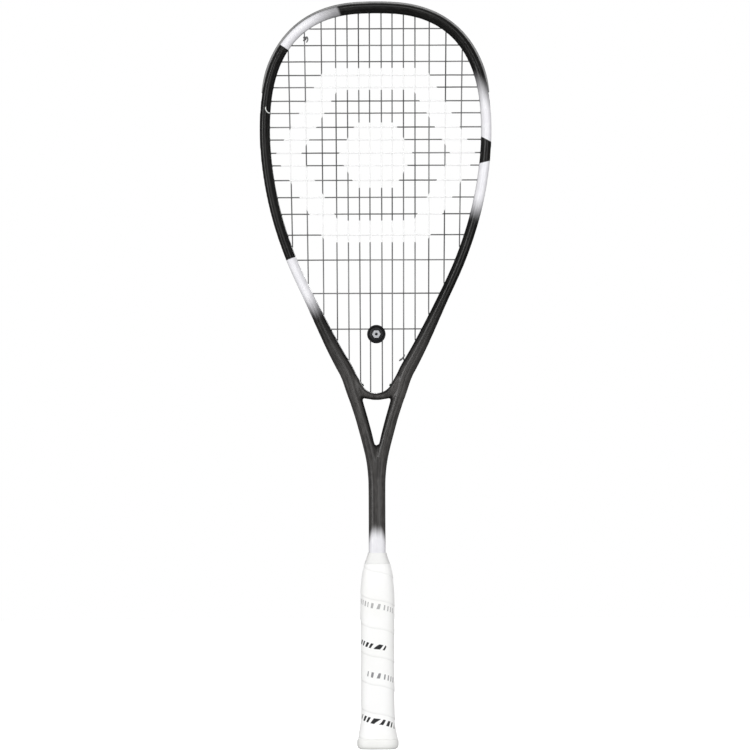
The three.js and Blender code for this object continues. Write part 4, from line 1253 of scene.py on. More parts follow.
@dataclass
class Stringing:
    """The holes, the grommets and the two strings."""

    line: HoopLine
    shell: CarbonFrame
    diameter: float = 1.2
    middle_gap: float = 10.8
    places_top: tuple[float, ...] = (0.16, 0.268, 0.378, 0.514, 0.673, 0.827)
    places_low: tuple[float, ...] = (0.155, 0.262, 0.371, 0.5, 0.646, 0.794)
    cross_places: tuple[float, ...] = (
        0.96, 0.916, 0.873, 0.837, 0.805, 0.769, 0.737, 0.7, 0.667,
        0.632, 0.599, 0.56, 0.515, 0.471, 0.416, 0.35, 0.262, 0.168)
    pitch: float = 6.0
    corner: float = 0.7  # length of the turn where a string leaves its hole
    bore: float = 1.0
    barrel_wall: float = 0.6
    barrel_length: float = 2.4
    barrel_proud: float = 0.45
    barrel_sink: float = 1.4
    bridge_sink: float = 2.6  # how many times deeper the bridge's barrels sink
    strip_thickness: float = 0.8
    strip_half: float = 3.1
    strip_gap: float = 1.0
    strip_over: float = 6.0  # how far a strip runs past its last hole
    bumper_width: float = 12.6
    bumper_drop: float = 85.0
    bumper_fade: float = 22.0
    bumper_thin: float = 0.55  # how proud its ends stand
    weave: float = 0.58

    def __post_init__(self) -> None:
        """Places every hole."""
        self.radius = self.diameter / 2
        self.lane = (self.diameter + CLEARANCE) / 2
        self.level = self.strip_thickness + 2 * CLEARANCE + self.radius
        half, top = HEAD_HALF - SIDE_FACE / 2, CROWN_Z - CROWN_FACE / 2
        self.tops = [self.middle_gap / 2, *(share * half for share in self.places_top)]
        self.feet = [self.middle_gap / 2, *(share * half for share in self.places_low)]
        self.heights = [mix(BRIDGE_Z, top, share) for share in self.cross_places]
        self.holes: dict[str, Hole] = {}
        for side in Side:
            for row, (x_top, x_foot) in enumerate(zip(self.tops, self.feet)):
                self.holes[f"top{side.value * (row + 1)}"] = self.hoop_hole(
                    0, side.value * x_top, -self.lane, on(side, True))
                self.holes[f"foot{side.value * (row + 1)}"] = (
                    self.bridge_hole(side, row) if row < 2
                    else self.hoop_hole(0, side.value * x_foot, -self.lane, on(side, False)))
            for row, z in enumerate(self.heights):
                self.holes[f"cross{side.value * (row + 1)}"] = self.hoop_hole(1, z, self.lane, on(side))
        self.spread_out([hole for hole in self.holes.values() if hole.stop is not None])

    def hoop_hole(self, axis: int, value: float, lane: float, fits: Callable[[Station], bool]) -> Hole:
        """A hole in the hoop, square to the tube.

        Args:
            axis: 0 where its mouth is given across, 1 where it is given by height.
            value: The mouth's place, in millimetres.
            lane: y of its axis.
            fits: Test that picks the right part of the hoop.

        Returns:
            The hole, with no mouth or floor yet.
        """
        return Hole(lane, stop=self.line.stop_where(axis, value, fits))

    def bridge_hole(self, side: Side, row: int) -> Hole:
        """A hole through the bridge, from the arch to the groove under it.

        Args:
            side: The side of the racket.
            row: 0 for the inner hole, 1 for the outer.

        Returns:
            The hole.
        """
        shell = self.shell
        barrel = self.bore + self.barrel_wall
        mouth_x = shell.half_gap(BRIDGE_Z + shell.arch_rise / 2) - barrel - CLEARANCE
        exit_x = shell.underside_half - 4 * CLEARANCE - barrel - CLEARANCE
        x, low_x = (self.middle_gap / 2,) * 2 if row == 0 else (mouth_x, exit_x)
        mouth = np.array([side.value * x, -self.lane, shell.arch(x) + self.barrel_proud])
        floor = np.array([side.value * low_x, -self.lane, shell.underside(low_x) + shell.bridge_groove])
        aim = (floor - mouth) / np.linalg.norm(floor - mouth)
        return Hole(-self.lane, mouth=mouth, floor=floor, outward=aim)

    def spread_out(self, holes: list[Hole]) -> None:
        """Moves holes that are too close along the hoop apart, and fixes their ends.

        Args:
            holes: The hoop's holes.
        """
        ordered = sorted(holes, key=lambda hole: hole.stop)
        for _ in range(40):
            for first, second in zip(ordered, ordered[1:]):
                short = self.pitch - (second.stop - first.stop)
                if short > 0:
                    second.stop += short / 2
                    first.stop -= short / 2
        for hole in ordered:
            station = self.line.station(hole.stop)
            hole.outward = np.array([station.outward[0], 0.0, station.outward[1]])
            hole.outward /= np.linalg.norm(hole.outward)
            hole.mouth = np.array(station.at(-station.half_face - self.barrel_proud, hole.lane))
            hole.floor = np.array(station.at(station.half_face - station.groove, hole.lane))

    # Strings

    def turn_out(self, hole: Hole, goal: np.ndarray) -> list[np.ndarray]:
        """Points of the soft turn from a hole's axis to the way round the outside.

        Args:
            hole: The hole that the string leaves.
            goal: The next point outside.

        Returns:
            Three points.
        """
        start, bend = hole.above(self.level), self.corner * 0.3
        aim = (goal - start) / np.linalg.norm(goal - start)
        soft = hole.above(self.level - bend) * 0.5 + (start + aim * bend) * 0.5
        return [hole.above(self.level - self.corner), soft, start + aim * self.corner]

    def loop(self, first: Hole, second: Hole) -> list[np.ndarray]:
        """The way of a string round the outside, between two neighbouring holes.

        Args:
            first: The hole that it leaves.
            second: The hole that it enters.

        Returns:
            The points.
        """
        starts, ends = first.stop or 0.0, second.stop or 0.0
        low, high = sorted((starts, ends))
        passed = [s for s in self.line.stations if low + self.diameter < s.stop < high - self.diameter]
        if ends < starts:
            passed.reverse()
        middle = [np.array(s.at(s.half_face - s.groove + self.level, first.lane)) for s in passed]
        ahead = middle[0] if middle else second.above(self.level)
        behind = middle[-1] if middle else first.above(self.level)
        return self.turn_out(first, ahead) + middle + self.turn_out(second, behind)[::-1]

    def straight(
            self, start: Hole, end: Hole, others: list[tuple[np.ndarray, np.ndarray]], phase: int) -> list:
        """Points of one run across the bed, over and under the strings that it crosses.

        Args:
            start: Hole that it leaves.
            end: Hole that it enters.
            others: Both ends of every string of the other direction.
            phase: 1 or -1, the side on which it passes the first of them in the list.

        Returns:
            The points, from mouth to mouth.
        """
        a, b = start.mouth, end.mouth
        crossings: list[Pair] = []
        for number, (c, d) in enumerate(others):
            run, other = b - a, d - c
            cross = run[0] * other[2] - run[2] * other[0]
            t = ((c[0] - a[0]) * other[2] - (c[2] - a[2]) * other[0]) / cross
            s = ((c[0] - a[0]) * run[2] - (c[2] - a[2]) * run[0]) / cross
            if 0 < t < 1 and 0 < s < 1:
                crossings.append((t, phase * (1 if number % 2 == 0 else -1) * self.weave))
        crossings.sort()
        shares = [0.0] + [t for t, _ in crossings] + [1.0]
        depths = [start.lane] + [y for _, y in crossings] + [end.lane]
        points = []
        for row in range(1, len(shares)):
            parts = 5 if 1 < row < len(shares) - 1 else 3
            for step in range(parts):
                part = step / parts
                t = mix(shares[row - 1], shares[row], part)
                ease = (1 - math.cos(math.pi * part)) / 2
                point = a + (b - a) * t
                points.append(np.array([point[0], mix(depths[row - 1], depths[row], ease), point[2]]))
        points.append(np.array([b[0], depths[-1], b[2]]))
        return points

    def runs(self) -> Skin:
        """The holes of each main, from left to right, and of each cross, from the top."""
        count = len(self.tops)
        columns = list(range(-count, 0)) + list(range(1, count + 1))
        mains = [(self.holes[f"foot{c}"], self.holes[f"top{c}"]) for c in columns]
        crosses = [(self.holes[f"cross{-(row + 1)}"], self.holes[f"cross{row + 1}"])
                   for row in range(len(self.heights))]
        return mains, crosses

    def string_path(self, pairs: list, others: list, phase: int) -> list[np.ndarray]:
        """The whole path of one string, through every run and loop.

        Args:
            pairs: The two holes of each run, in order.
            others: The two holes of each run of the other string.
            phase: 1 or -1, the side on which the first run passes the first of the others.

        Returns:
            The points.
        """
        fields = [(first.mouth, second.mouth) for first, second in others]
        path: list[np.ndarray] = [pairs[0][0].above(self.level)]
        for row, (first, second) in enumerate(pairs):
            start, end = (first, second) if row % 2 == 0 else (second, first)
            path.append(start.above(0.0))
            path += self.straight(start, end, fields, phase if row % 2 == 0 else -phase)
            path.append(end.above(0.0))
            if row + 1 < len(pairs):
                after = pairs[row + 1][1] if row % 2 == 0 else pairs[row + 1][0]
                path += self.loop(end, after)
            else:
                path.append(end.above(self.level))
        return path

    def knot(self, centre: Triple, size: float) -> list[list[float]]:
        """A small tied knot.

        Args:
            centre: Its middle.
            size: Half its width.

        Returns:
            The points of a trefoil.
        """
        points = []
        for t in np.linspace(0, 2 * math.pi, 25):
            points.append([centre[0] + size * (math.sin(t) + 2 * math.sin(2 * t)) / 3,
                           centre[1] - size * math.sin(3 * t) / 2,
                           centre[2] + size * (math.cos(t) - 2 * math.cos(2 * t)) / 3])
        return points

    def tied_ends(self) -> list[Any]:
        """The knot near the crown and the cut ends that show in front of the bed."""
        x = self.tops[5]
        crown = [[-x - 0.6, -1.2, 650.0], [-x + 0.6, -2.2, 652.4], [-x + 2.6, -2.9, 653.6],
                 [-x + 3.4, -3.0, 651.2], [-x + 2.2, -2.6, 648.6]]
        foot = [[25.7, -1.0, 361.5], [25.3, -2.2, 360.2], [23.6, -2.8, 358.2], [21.4, -2.4, 357.0]]
        beside = [[x_foot - 0.5, y - 0.2, z - 0.9] for x_foot, y, z in foot]
        return [self.knot((-x + 1.0, -2.0, 652.6), 1.5), *(spline(end, 5) for end in (crown, foot, beside))]

    def curled_end(self) -> np.ndarray:
        """The pale cut end that curls over the front of the left side."""
        z = self.heights[6]
        return spline([[-95.4, -2.0, z + 0.2], [-95.9, -6.4, z + 0.3], [-97.4, -9.4, z],
                       [-99.4, -10.0, z + 1.2], [-100.8, -9.9, z + 3.8], [-100.6, -9.6, z + 5.6]], 6)

    def build_strings(self) -> list[Piece]:
        """Makes the main string and the cross string."""
        mains, crosses = self.runs()
        tree = cord_tree()
        finish = StringFinish(centre_z=0.545, half=0.080, ring=0.060, core=0.030).material()
        values = {"Radius": self.radius * MM, "Sides": 10, "Material": finish}
        made = []
        for name, pairs, others, phase in (
                ("main_string_woven", mains, crosses, -1), ("cross_string_woven", crosses, mains, 1)):
            paths = [self.string_path(pairs, others, phase)] + (self.tied_ends() if phase < 0 else [])
            made.append(tree.apply(name, path_mesh(paths), values))
        pale = PlasticFinish("string_end", (0.55, 0.57, 0.55), (0.70, 0.72, 0.70), 0.4).material()
        values = {**values, "Radius": 0.8 * self.radius * MM, "Material": pale}
        made.append(tree.apply("string_end_curled", path_mesh([self.curled_end()]), values))
        return made

    # Grommets and bumper

    def strip_ring(self, station: Station) -> list:
        """Section of a grommet strip on the groove's floor."""
        floor = station.half_face - station.groove + CLEARANCE
        half, top = self.strip_half, floor + self.strip_thickness
        return station.ring([(top, 0.0), (top, half - 0.25), (top - 0.2, half), (floor, half), (floor, 0.0)])

    def bumper_ring(self, station: Station, share: float) -> list:
        """Section of the bumper, a channel that covers the crown's outside.

        Args:
            station: The tube's section.
            share: 1 along the bumper, less near its ends, where it thins out.

        Returns:
            The closed ring.
        """
        proud = mix(self.bumper_thin, BUMPER_PROUD, share)
        top, face = station.half_face + proud, station.half_face + 0.05
        floor = station.half_face - station.groove + CLEARANCE
        bed = floor + self.strip_thickness
        channel, wide = 2.5, self.bumper_width / 2
        return station.ring([
            (bed, 0.0), (bed, channel), (top - 0.35, channel + 0.15), (top, channel + 0.55),
            (top, wide - 1.5), (top - 0.25 * proud, wide - 0.55), (top - 0.7 * proud, wide - 0.05),
            (face - 0.3, wide - 0.1), (face - 0.3, 3.5), (floor, self.strip_half), (floor, 0.0)])

    def reach(self) -> Pair:
        """Distances along the tube of the bumper's foot and the side strip's foot, on the left."""
        bumper = self.line.stop_where(1, LENGTH - self.bumper_drop, on(Side.LEFT))
        first = min(hole.stop for hole in self.holes.values() if hole.stop is not None)
        return bumper, first - self.strip_over

    def build_bumper(self) -> Piece:
        """Makes the bumper guard."""
        start, _ = self.reach()
        end, fade = self.line.length - start, self.bumper_fade
        rings = []
        for station in self.line.span(start, end):
            share = min(1.0, (station.stop - start) / fade, (end - station.stop) / fade)
            rings.append(self.bumper_ring(station, math.sin(share * math.pi / 2)))
        return mesh_object("bumper_guard_moulding", *loft(rings))

    def build_bridge_strip(self) -> Piece:
        """Makes the strip in the groove under the bridge."""
        shell, half, steps = self.shell, self.strip_half, 24
        reach = shell.underside_half - 4 * CLEARANCE
        rings = []
        for step in range(steps + 1):
            x = mix(-reach, reach, step / steps)
            top = shell.underside(x) + shell.bridge_groove - CLEARANCE
            edge, low, inner = top - 0.6, top - self.strip_thickness, half - 0.2
            rings.append([[x, -half, top], [x, half, top], [x, half, edge], [x, inner, low],
                          [x, -inner, low], [x, -half, edge]])
        return mesh_object("grommet_strip_bridge", *loft(rings))

    def build_strips(self) -> list[Piece]:
        """Makes the two side strips and the strip under the bridge."""
        bumper, low = self.reach()
        high, length = bumper - self.strip_gap, self.line.length
        pieces = []
        for name, start, end in (
                ("grommet_strip_left", low, high), ("grommet_strip_right", length - high, length - low)):
            rings = [self.strip_ring(station) for station in self.line.span(start, end)]
            pieces.append(mesh_object(name, *loft(rings)))
        return [*pieces, self.build_bridge_strip()]

    def barrel_spots(self, keep: Callable[[Hole], bool]) -> list[tuple[np.ndarray, np.ndarray]]:
        """Places of barrels.

        Args:
            keep: Test that picks the holes.

        Returns:
            The middle of each barrel, with its direction.
        """
        spots = []
        for hole in self.holes.values():
            if keep(hole):
                sink = self.barrel_sink * (self.bridge_sink if hole.stop is None else 1.0)
                spots.append((hole.mouth + hole.outward * sink, hole.outward))
        return spots

    def build_barrels(self) -> list[Piece]:
        """Makes the barrels of each strip, as one piece for each."""
        bumper, _ = self.reach()
        far = self.line.length - bumper
        tree = barrel_tree()
        green = PlasticFinish("grommet_barrel", (0.018, 0.034, 0.024), (0.030, 0.056, 0.040), 0.45).material()
        values = {"Radius": (self.bore + self.barrel_wall / 2) * MM, "Wall": self.barrel_wall * MM,
                  "Length": self.barrel_length * MM, "Lip": 0.2 * MM, "Sides": 14, "Material": green}
        tests: dict[str, Callable[[Hole], bool]] = {
            "grommets_left": lambda hole: hole.stop is not None and hole.stop < bumper,
            "grommets_right": lambda hole: hole.stop is not None and hole.stop > far,
            "grommets_crown": lambda hole: hole.stop is not None and bumper <= hole.stop <= far,
            "grommets_bridge": lambda hole: hole.stop is None,
        }
        return [tree.apply(name, spot_mesh(self.barrel_spots(keep)), values) for name, keep in tests.items()]

    def assemble(self) -> None:
        """Builds the strings, the bumper and the grommets, dresses them and ties them to the frame."""
        main_string, cross_string, curled_end = self.build_strings()
        register(main_string, Body.RACKET, "string", "main_string")
        register(cross_string, Body.RACKET, "string", "cross_string")
        register(curled_end, Body.RACKET, "string")
        bumper = self.build_bumper()
        dress(bumper, PlasticFinish("bumper_nylon", (0.20, 0.20, 0.20), (0.30, 0.30, 0.295), 0.5).material())
        register(bumper, Body.RACKET, "bumper_plastic", "bumper_guard")
        nylon = PlasticFinish("grommet_nylon", (0.024, 0.028, 0.025), (0.045, 0.05, 0.045), 0.45).material()
        nodes = ("left_grommet_strip", "right_grommet_strip", "bridge_grommet_strip")
        for strip, node in zip(self.build_strips(), nodes):
            dress(strip, nylon)
            register(strip, Body.RACKET, "grommet_plastic", node)
        for barrels in self.build_barrels():
            register(barrels, Body.RACKET, "grommet_plastic")


# ---- Handle ----


@dataclass
class Handle:
    """Wound grip, finishing tape and butt cap."""

    grip_width: float = 31.6
    grip_depth: float = 27.4
    flare_width: float = 37.8
    flare_depth: float = 33.8
    flare_height: float = 30.0
    cone_height: float = 30.0
    cone_width: float = 23.8
    lip_width: float = 38.4
    lip_depth: float = 34.4
    tape_thickness: float = 1.7
    collar_length: float = 10.0
    collar_wall: float = 0.7
    squareness: float = 3.0
    girth: float = 96.0
    pitch: float = 26.0
    overlap: float = 0.4
    lap_edge: float = 0.035  # share of a wind over which the tape's lap rises
    around: int = 120
    flare_curve: Pairs = ((0.0, 0.0), (0.35, 0.55), (0.6, 0.8), (1.0, 1.0))
    cone_curve: Pairs = (
        (0.0, 0.0), (0.3, 0.1), (0.55, 0.27), (0.76, 0.52), (0.9, 0.76), (1.0, 1.0))
    softening: tuple[float, ...] = (-4.0, -2.0, 0.0, 2.0, 4.0)  # heights that are averaged
    skirt_top: float = 27.0
    skirt_wall: float = 1.4

    def half(self, z: float) -> Pair:
        """Size of the wound grip.

        Args:
            z: The height, in millimetres.

        Returns:
            Half the width and half the depth.
        """
        foot, cone = LIP_HEIGHT + CLEARANCE, HANDLE_LENGTH - self.cone_height

        def size(flare: float, straight: float, top: float) -> float:
            """Half of a size at the height, from its value at the foot, on the grip and at the top."""
            points = [(mix(foot, self.flare_height, up), mix(flare, straight, share))
                      for up, share in self.flare_curve]
            points += [(mix(cone, HANDLE_LENGTH, up), mix(straight, top, share))
                       for up, share in self.cone_curve]
            return float(np.mean([trace(z + shift, points) for shift in self.softening])) / 2

        return (size(self.flare_width, self.grip_width, self.cone_width),
                size(self.flare_depth, self.grip_depth, self.cone_width))

    def corner(self, turn: float, half_width: float, half_depth: float) -> Pair:
        """A point of the rounded section, at a share of a whole turn."""
        angle, power = 2 * math.pi * turn, 2 / self.squareness
        return (half_width * signed_power(math.cos(angle), power),
                half_depth * signed_power(math.sin(angle), power))

    def ring(self, half_width: float, half_depth: float, z: float) -> list[list[float]]:
        """A whole rounded section at a height."""
        return [[*self.corner(k / self.around, half_width, half_depth), z] for k in range(self.around)]

    def wind(self, turn: float, z: float) -> float:
        """How far the tape's lap stands up at a place.

        Args:
            turn: Share of a whole turn.
            z: Height, in millimetres.

        Returns:
            From 0 at the under edge to the lap's thickness.
        """
        across = (z / self.pitch + turn) % 1.0
        fall = 1.0 - across
        if across < self.lap_edge:
            fall *= (1 - math.cos(math.pi * across / self.lap_edge)) / 2
        return self.overlap * fall

    def build_grip(self) -> Piece:
        """Makes the wound tape as one shell with a step at each lap."""
        low, high = LIP_HEIGHT + 0.05, HANDLE_LENGTH
        outer_rows, inner_rows, edge_soft = 300, 39, 0.6
        rings = []
        for row in range(outer_rows + 1):
            z = mix(low, high, row / outer_rows)
            half_width, half_depth = self.half(z)
            edge = min(1.0, (z - low) / edge_soft, (high - z) / edge_soft)
            inset = 0.2 * (1 - math.sqrt(max(0.0, 1 - (1 - edge) ** 2)))
            ring = []
            for turn in np.linspace(0, 1, self.around, endpoint=False):
                drop = inset + self.overlap - self.wind(turn, z)
                ring.append([*self.corner(turn, half_width - drop, half_depth - drop), z])
            rings.append(ring)
        for row in range(inner_rows + 1):
            z = mix(high, low, row / inner_rows)
            half_width, half_depth = self.half(z)
            rings.append(self.ring(half_width - self.tape_thickness, half_depth - self.tape_thickness, z))
        piece = mesh_object("grip_wrap_tape", *loft(rings, closed=True))
        self.wind_uv(piece.data)
        return piece

    def wind_uv(self, mesh: bpy.types.Mesh) -> None:
        """Stores the turn and the count of winds as the UV map, with its seam at the side.

        Args:
            mesh: The grip's mesh, in metres.
        """
        layer = mesh.uv_layers.new(name="wind")
        turns = [(self.turn_of(v.co.x, v.co.y), v.co.z / MM) for v in mesh.vertices]
        for face in mesh.polygons:
            corners = [turns[v] for v in face.vertices]
            wraps = max(c[0] for c in corners) > 0.75 and min(c[0] for c in corners) < 0.25
            for place, (turn, z) in zip(face.loop_indices, corners):
                turn += 1.0 if wraps and turn < 0.25 else 0.0
                layer.data[place].uv = (turn, z / self.pitch + turn)

    def turn_of(self, x: float, y: float) -> float:
        """Share of a whole turn at a point of the grip."""
        power = self.squareness / 2
        cos, sin = signed_power(x / self.grip_width, power), signed_power(y / self.grip_depth, power)
        return (math.atan2(sin, cos) / (2 * math.pi)) % 1.0

    def build_collar(self) -> Piece:
        """Makes the finishing tape, two laps that taper onto the shaft."""
        low, high = HANDLE_LENGTH + 0.05, HANDLE_LENGTH + self.collar_length
        inside = (SHAFT_WIDTH / 2 + 0.45, SHAFT_DEPTH / 2 + 0.45)
        outer_rows, inner_rows = 36, 4
        rings = []
        for row in range(outer_rows + 1):
            share = row / outer_rows
            z = mix(low, high, share)
            taper = trace(share, ((0, 0), (0.4, 0.52), (0.8, 0.94), (1, 1)))
            soft = 0.4 * max(0.0, 1 - (high - z) / 0.8) + 0.2
            sizes = [mix(self.cone_width / 2, half + self.collar_wall, taper) - soft for half in inside]
            rings.append(self.ring(*sizes, z))
        rings += [self.ring(*inside, mix(high, low, row / inner_rows)) for row in range(inner_rows + 1)]
        return mesh_object("finishing_tape_band", *loft(rings, closed=True))

    def build_cap(self) -> Piece:
        """Makes the butt cap with its rolled lip, its skirt and a dished end."""
        half_width, half_depth = self.lip_width / 2, self.lip_depth / 2
        dish = ((0.15, 0.9), (0.6, 0.9), (0.72, 0.6), (0.78, 0.2), (0.86, 0.0))
        lip = ((0.0, 3.4), (0.15, 2.4), (0.7, 1.3), (1.6, 0.6), (2.8, 0.18), (4.4, 0.0), (6.0, 0.04),
               (7.2, 0.12), (8.2, 0.25), (8.7, 0.4), (LIP_HEIGHT, 0.8))
        rings = [self.ring(half_width * share, half_depth * share, z) for share, z in dish]
        rings += [self.ring(half_width - inset, half_depth - inset, z) for z, inset in lip]
        under = self.tape_thickness + CLEARANCE
        for z in (10.0, 14.0, 18.0, 22.0, self.skirt_top - 0.4, self.skirt_top):
            width, depth = self.half(z)
            inset = under + (0.3 if z == self.skirt_top else 0.0)
            rings.append(self.ring(width - inset, depth - inset, z))
        seat = [size - under - self.skirt_wall for size in self.half(self.skirt_top)]
        rings += [self.ring(*seat, z) for z in (self.skirt_top, CAP_PLATE)]
        rings.append(self.ring(1.0, 1.0, CAP_PLATE))
        return mesh_object("butt_cap_moulding", *loft(rings))

    def printed_rows(self) -> tuple[PrintRow, ...]:
        """The four rows of dashes, from the top of the grip down."""
        black, grey, pale = (0.02, 0.02, 0.022), (0.25, 0.25, 0.26), (0.42, 0.42, 0.42)
        return (PrintRow(131.0, 2.5, 0.56, 0.93, pale, 3.6, 0.5, 0.15),
                PrintRow(94.0, 2.4, 0.56, 0.81, black, 4.2, 0.62, 0.5),
                PrintRow(67.5, 2.5, 0.665, 0.93, grey, 3.6, 0.5, 0.15),
                PrintRow(25.5, 2.7, 0.57, 0.92, black, 4.6, 0.62, 0.5))

    def assemble(self) -> None:
        """Builds the grip, the finishing tape and the cap, dresses them and ties them to the frame."""
        grip = self.build_grip()
        dress(grip, GripFinish(self.pitch, self.girth, self.printed_rows()).material())
        register(grip, Body.RACKET, "grip_wrap", "grip_tape")
        collar = self.build_collar()
        tape = PlasticFinish("finishing_tape", (0.80, 0.80, 0.79), (0.86, 0.86, 0.85), 0.42)
        dress(collar, tape.material())
        register(collar, Body.RACKET, "finishing_wrap", "finishing_tape")
        cap = self.build_cap()
        dress(cap, PlasticFinish("cap_plastic", (0.86, 0.86, 0.84), (0.90, 0.90, 0.885), 0.45).material())
        register(cap, Body.RACKET, "cap_plastic", "butt_cap")


# ---- Damper ----


@dataclass
class Damper:
    """Rubber vibration damper between the two middle mains, with a plain badge."""

    strings: Stringing
    diameter: float = 17.0
    back_diameter: float = 14.0
    flange: float = 2.65
    back_flange: float = 2.0
    waist_height: float = 7.2
    rim: float = 1.9
    recess: float = 1.0
    badge: float = 0.5
    mark_size: float = 3.9
    mark_hole: float = 1.45

    def __post_init__(self) -> None:
        """Places the damper just under the last cross."""
        self.face = self.strings.lane + self.strings.radius + CLEARANCE
        self.z = self.strings.heights[-1] - self.strings.radius - CLEARANCE - self.waist_height / 2

    def build_body(self) -> Piece:
        """Makes the front flange with its raised rim, the waist and the back flange."""
        r, front = self.diameter / 2, -(self.face + self.flange)
        floor, crest = front + self.recess, 0.75
        rim_round = [(r - self.rim / 2 + math.cos(a) * self.rim / 2, front + crest - math.sin(a) * crest)
                     for a in np.linspace(0, math.pi, 11)]
        profile = [(0.0, -self.face), (r - 0.5, -self.face), (r, -self.face - 0.45), *rim_round,
                   (r - self.rim - 0.05, floor - 0.1), (r - self.rim - 0.3, floor), (0.0, floor)]
        back_r, back = self.back_diameter / 2, self.face + self.back_flange
        back_profile = [(0.0, self.face), (back_r - 0.3, self.face), (back_r, self.face + 0.3),
                        (back_r, back - 0.8), (back_r - 0.25, back - 0.25), (back_r - 0.9, back),
                        (back_r * 0.5, back - 0.2), (0.0, back - 0.3)]
        return mesh_object("damper_rubber_button", *gather([
            lathe_y(profile, self.z), lathe_y(back_profile, self.z), self.waist_skin()]))

    def waist_skin(self) -> Skin:
        """The waist that sits between the two middle mains, slimmest at its middle."""
        half = self.strings.middle_gap / 2 - self.strings.radius - CLEARANCE
        rings, steps, corners = [], 8, 40
        for step in range(steps + 1):
            y = mix(-self.face - 0.4, self.face + 0.4, step / steps)
            pinch = 0.25 * math.sin(math.pi * step / steps)
            ring = []
            for corner in range(corners):
                angle = 2 * math.pi * corner / corners
                ring.append([(half - pinch) * signed_power(math.cos(angle), 0.5), y,
                             self.z + (self.waist_height / 2 - pinch) * signed_power(math.sin(angle), 0.5)])
            rings.append(ring)
        return loft(rings)

    def build_badge(self) -> list[Piece]:
        """Makes the badge disc and its raised plain hexagon."""
        r = self.diameter / 2 - self.rim - CLEARANCE
        floor = -(self.face + self.flange) + self.recess - CLEARANCE / 2
        top = floor - self.badge
        disc = [(0.0, floor), (r, floor), (r, top + 0.15), (r - 0.2, top), (0.0, top)]
        disc_piece = mesh_object("damper_badge_disc", *lathe_y(disc, self.z))
        size, hole, soft = self.mark_size, self.mark_hole, 0.25
        rings = []
        for radius, rise in ((size, 0.1), (size, -0.12), (size - soft, -0.2), (hole + soft, -0.2),
                             (hole, -0.12), (hole, 0.1)):
            rings.append([[radius * math.cos(math.pi * k / 3), top + rise,
                           self.z + radius * math.sin(math.pi * k / 3)] for k in range(6)])
        return [disc_piece, mesh_object("damper_badge_mark", *loft(rings, closed=True))]

    def assemble(self) -> None:
        """Builds the button and its badge, dresses them and ties them to the frame."""
        rubber = PlasticFinish(
            "damper_rubber", (0.008, 0.008, 0.009), (0.015, 0.015, 0.016), 0.6, specular=0.25)
        button = self.build_body()
        dress(button, rubber.material())
        register(button, Body.DAMPER, "damper_rubber", "damper_body")
        disc, mark = self.build_badge()
        dress(disc, PlasticFinish("badge_disc", (0.012, 0.012, 0.014), (0.02, 0.02, 0.022), 0.4).material())
        dress(mark, PlasticFinish("badge_mark", (0.42, 0.43, 0.45), (0.5, 0.5, 0.52), 0.4).material())
        register(disc, Body.DAMPER, "damper_badge", "damper_badge")
        register(mark, Body.DAMPER, "damper_badge")


# ---- Studio ----


@dataclass(frozen=True)
class Softbox:
    """A rectangular studio lamp that faces the middle of the racket."""

    name: str
    place: Triple
    size: Pair
    power: float
    mirrored: bool = True  # False where glossy surfaces don't show it

    def build(self, target: Vector) -> None:
        """Sets up the lamp.

        Args:
            target: The point that it faces, in metres.
        """
        data = bpy.data.lights.new(self.name, "AREA")
        data.shape = "RECTANGLE"
        data.size, data.size_y = self.size
        data.energy = self.power
        lamp = bpy.data.objects.new(self.name, data)
        bpy.context.scene.collection.objects.link(lamp)
        lamp.visible_glossy = self.mirrored
        lamp.location = self.place
        lamp.rotation_euler = (target - Vector(self.place)).to_track_quat("-Z", "Y").to_euler()


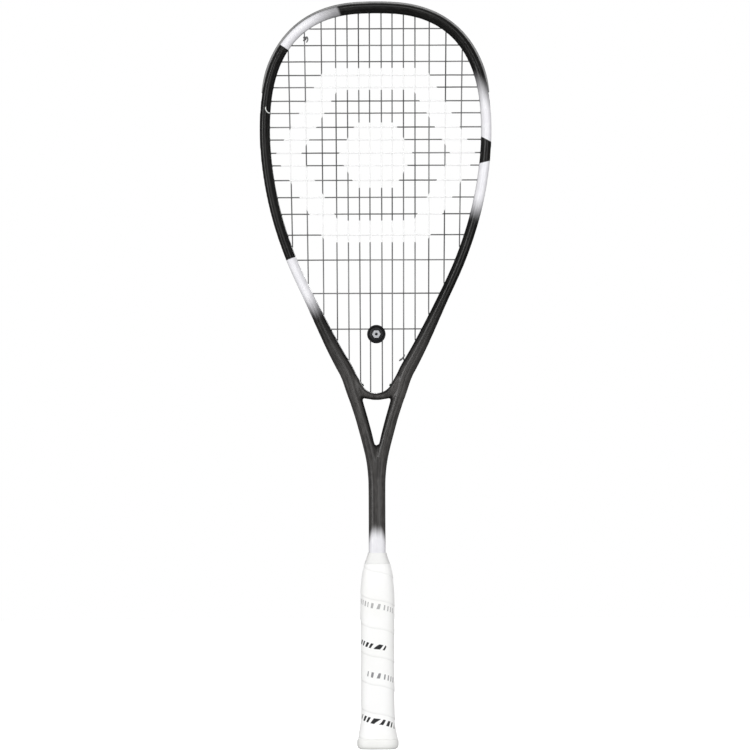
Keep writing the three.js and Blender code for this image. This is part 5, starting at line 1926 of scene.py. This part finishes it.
@dataclass
class Studio:
    """The pale floor, the even background, the lamps and the camera."""

    floor_radius: float = 3.2
    floor_drop: float = 0.0006
    world_base: float = 0.50
    camera_gain: float = 0.50  # how much brighter the background is to the camera
    glossy_gain: float = -0.45  # and how much darker in reflections
    camera_distance: float = 6.0
    view_width: float = 0.6888
    camera_roll: float = -0.222  # degrees
    camera_height: float = 0.3431
    camera_aside: float = -0.00138
    lamps: tuple[Softbox, ...] = (
        Softbox("front_fill", (-0.4, -2.7, 0.9), (1.4, 1.4), 31.0, False),
        Softbox("right_softbox", (1.0, -2.5, 0.8), (0.8, 1.8), 7.0),
        Softbox("right_fill", (2.5, -0.7, 0.5), (0.8, 1.2), 7.0, False),
        Softbox("left_softbox", (-2.0, -1.9, 0.8), (0.7, 1.8), 16.0),
        Softbox("top_softbox", (0.0, -1.5, 2.4), (1.6, 0.8), 7.0),
        Softbox("back_softbox", (0.6, 2.4, 1.5), (1.4, 1.4), 24.0))

    def build_floor(self) -> None:
        """Makes the round floor, which throws no light back onto the racket."""
        radius, drop = self.floor_radius, self.floor_drop
        angles = np.linspace(0, 2 * math.pi, 96, endpoint=False)
        ring = [[radius * math.cos(a), radius * math.sin(a), -drop] for a in angles]
        mesh = bpy.data.meshes.new("studio_floor")
        mesh.from_pydata(ring, [], [tuple(range(len(ring)))])
        floor = link_mesh("studio_floor", mesh)
        nodes = ShaderNodes("floor_paint")
        tint = nodes.noise(nodes.place(), 3.0, 2.0)
        dress(floor, nodes.end(
            Base_Color=nodes.blend(tint, (0.93, 0.93, 0.93), (0.96, 0.96, 0.96)), Roughness=0.9,
            Emission_Color=(1.0, 1.0, 1.0), Emission_Strength=0.8))
        floor.visible_diffuse = floor.visible_glossy = False

    def build_world(self) -> None:
        """Makes the background, brighter to the camera and darker in reflections."""
        world = bpy.data.worlds.new("studio")
        bpy.context.scene.world = world
        world.use_nodes = True
        tree = world.node_tree
        back = next(n for n in tree.nodes if n.type == "BACKGROUND")
        back.inputs["Color"].default_value = (1.0, 1.0, 1.0, 1.0)
        path = tree.nodes.new("ShaderNodeLightPath")
        level: Any = self.world_base
        for ray, gain in (("Is Camera Ray", self.camera_gain), ("Is Glossy Ray", self.glossy_gain)):
            feeds = {0: path.outputs[ray], 1: gain, 2: level}
            level = add_node(tree, "ShaderNodeMath", feeds, {"operation": "MULTIPLY_ADD"}).outputs[0]
        tree.links.new(level, back.inputs["Strength"])

    def build_camera(self) -> None:
        """Makes the camera, straight in front of the string plane with a long lens."""
        data = bpy.data.cameras.new("camera")
        data.sensor_width = 36.0
        data.lens = data.sensor_width * self.camera_distance / self.view_width
        data.clip_start, data.clip_end = 0.1, 60.0
        camera = bpy.data.objects.new("camera", data)
        bpy.context.scene.collection.objects.link(camera)
        camera.matrix_world = (
            Matrix.Translation((self.camera_aside, -self.camera_distance, self.camera_height))
            @ Matrix.Rotation(math.pi / 2, 4, "X")
            @ Matrix.Rotation(math.radians(self.camera_roll), 4, "Z"))
        bpy.context.scene.camera = camera

    def assemble(self) -> None:
        """Sets up the whole studio."""
        bpy.context.scene.view_settings.view_transform = "Standard"
        self.build_camera()
        self.build_floor()
        self.build_world()
        for lamp in self.lamps:
            lamp.build(Vector((0.0, 0.0, LENGTH * MM * 0.5)))


# ---- Assembly ----


def dress_hidden() -> None:
    """Gives the pieces inside the handle their own finishes."""
    foam = FoamFinish("pallet_foam", (0.30, 0.30, 0.28), (0.14, 0.14, 0.13), 900.0).material()
    plug = FoamFinish("plug_foam", (0.62, 0.52, 0.34), (0.40, 0.32, 0.20), 700.0).material()
    steel = SteelFinish().material()
    finishes = {"handle_pallet_front": foam, "handle_pallet_back": foam, "left_leg_plug": plug,
                "right_leg_plug": plug, "cap_staple_left": steel, "cap_staple_right": steel}
    for node, material in finishes.items():
        dress(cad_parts[node], material)


def build_racket() -> None:
    """Builds every visible piece and ties it to the frame."""
    line = HoopLine()
    shell = CarbonFrame(line)
    strings = Stringing(line, shell)
    for part in (shell, strings, Handle(), Damper(strings)):
        part.assemble()


def main() -> None:
    """Builds the studio and the racket."""
    logging.basicConfig(level=logging.INFO, format="%(name)s %(message)s")
    Studio().assemble()
    dress_hidden()
    build_racket()


if __name__ == "__main__":
    main()
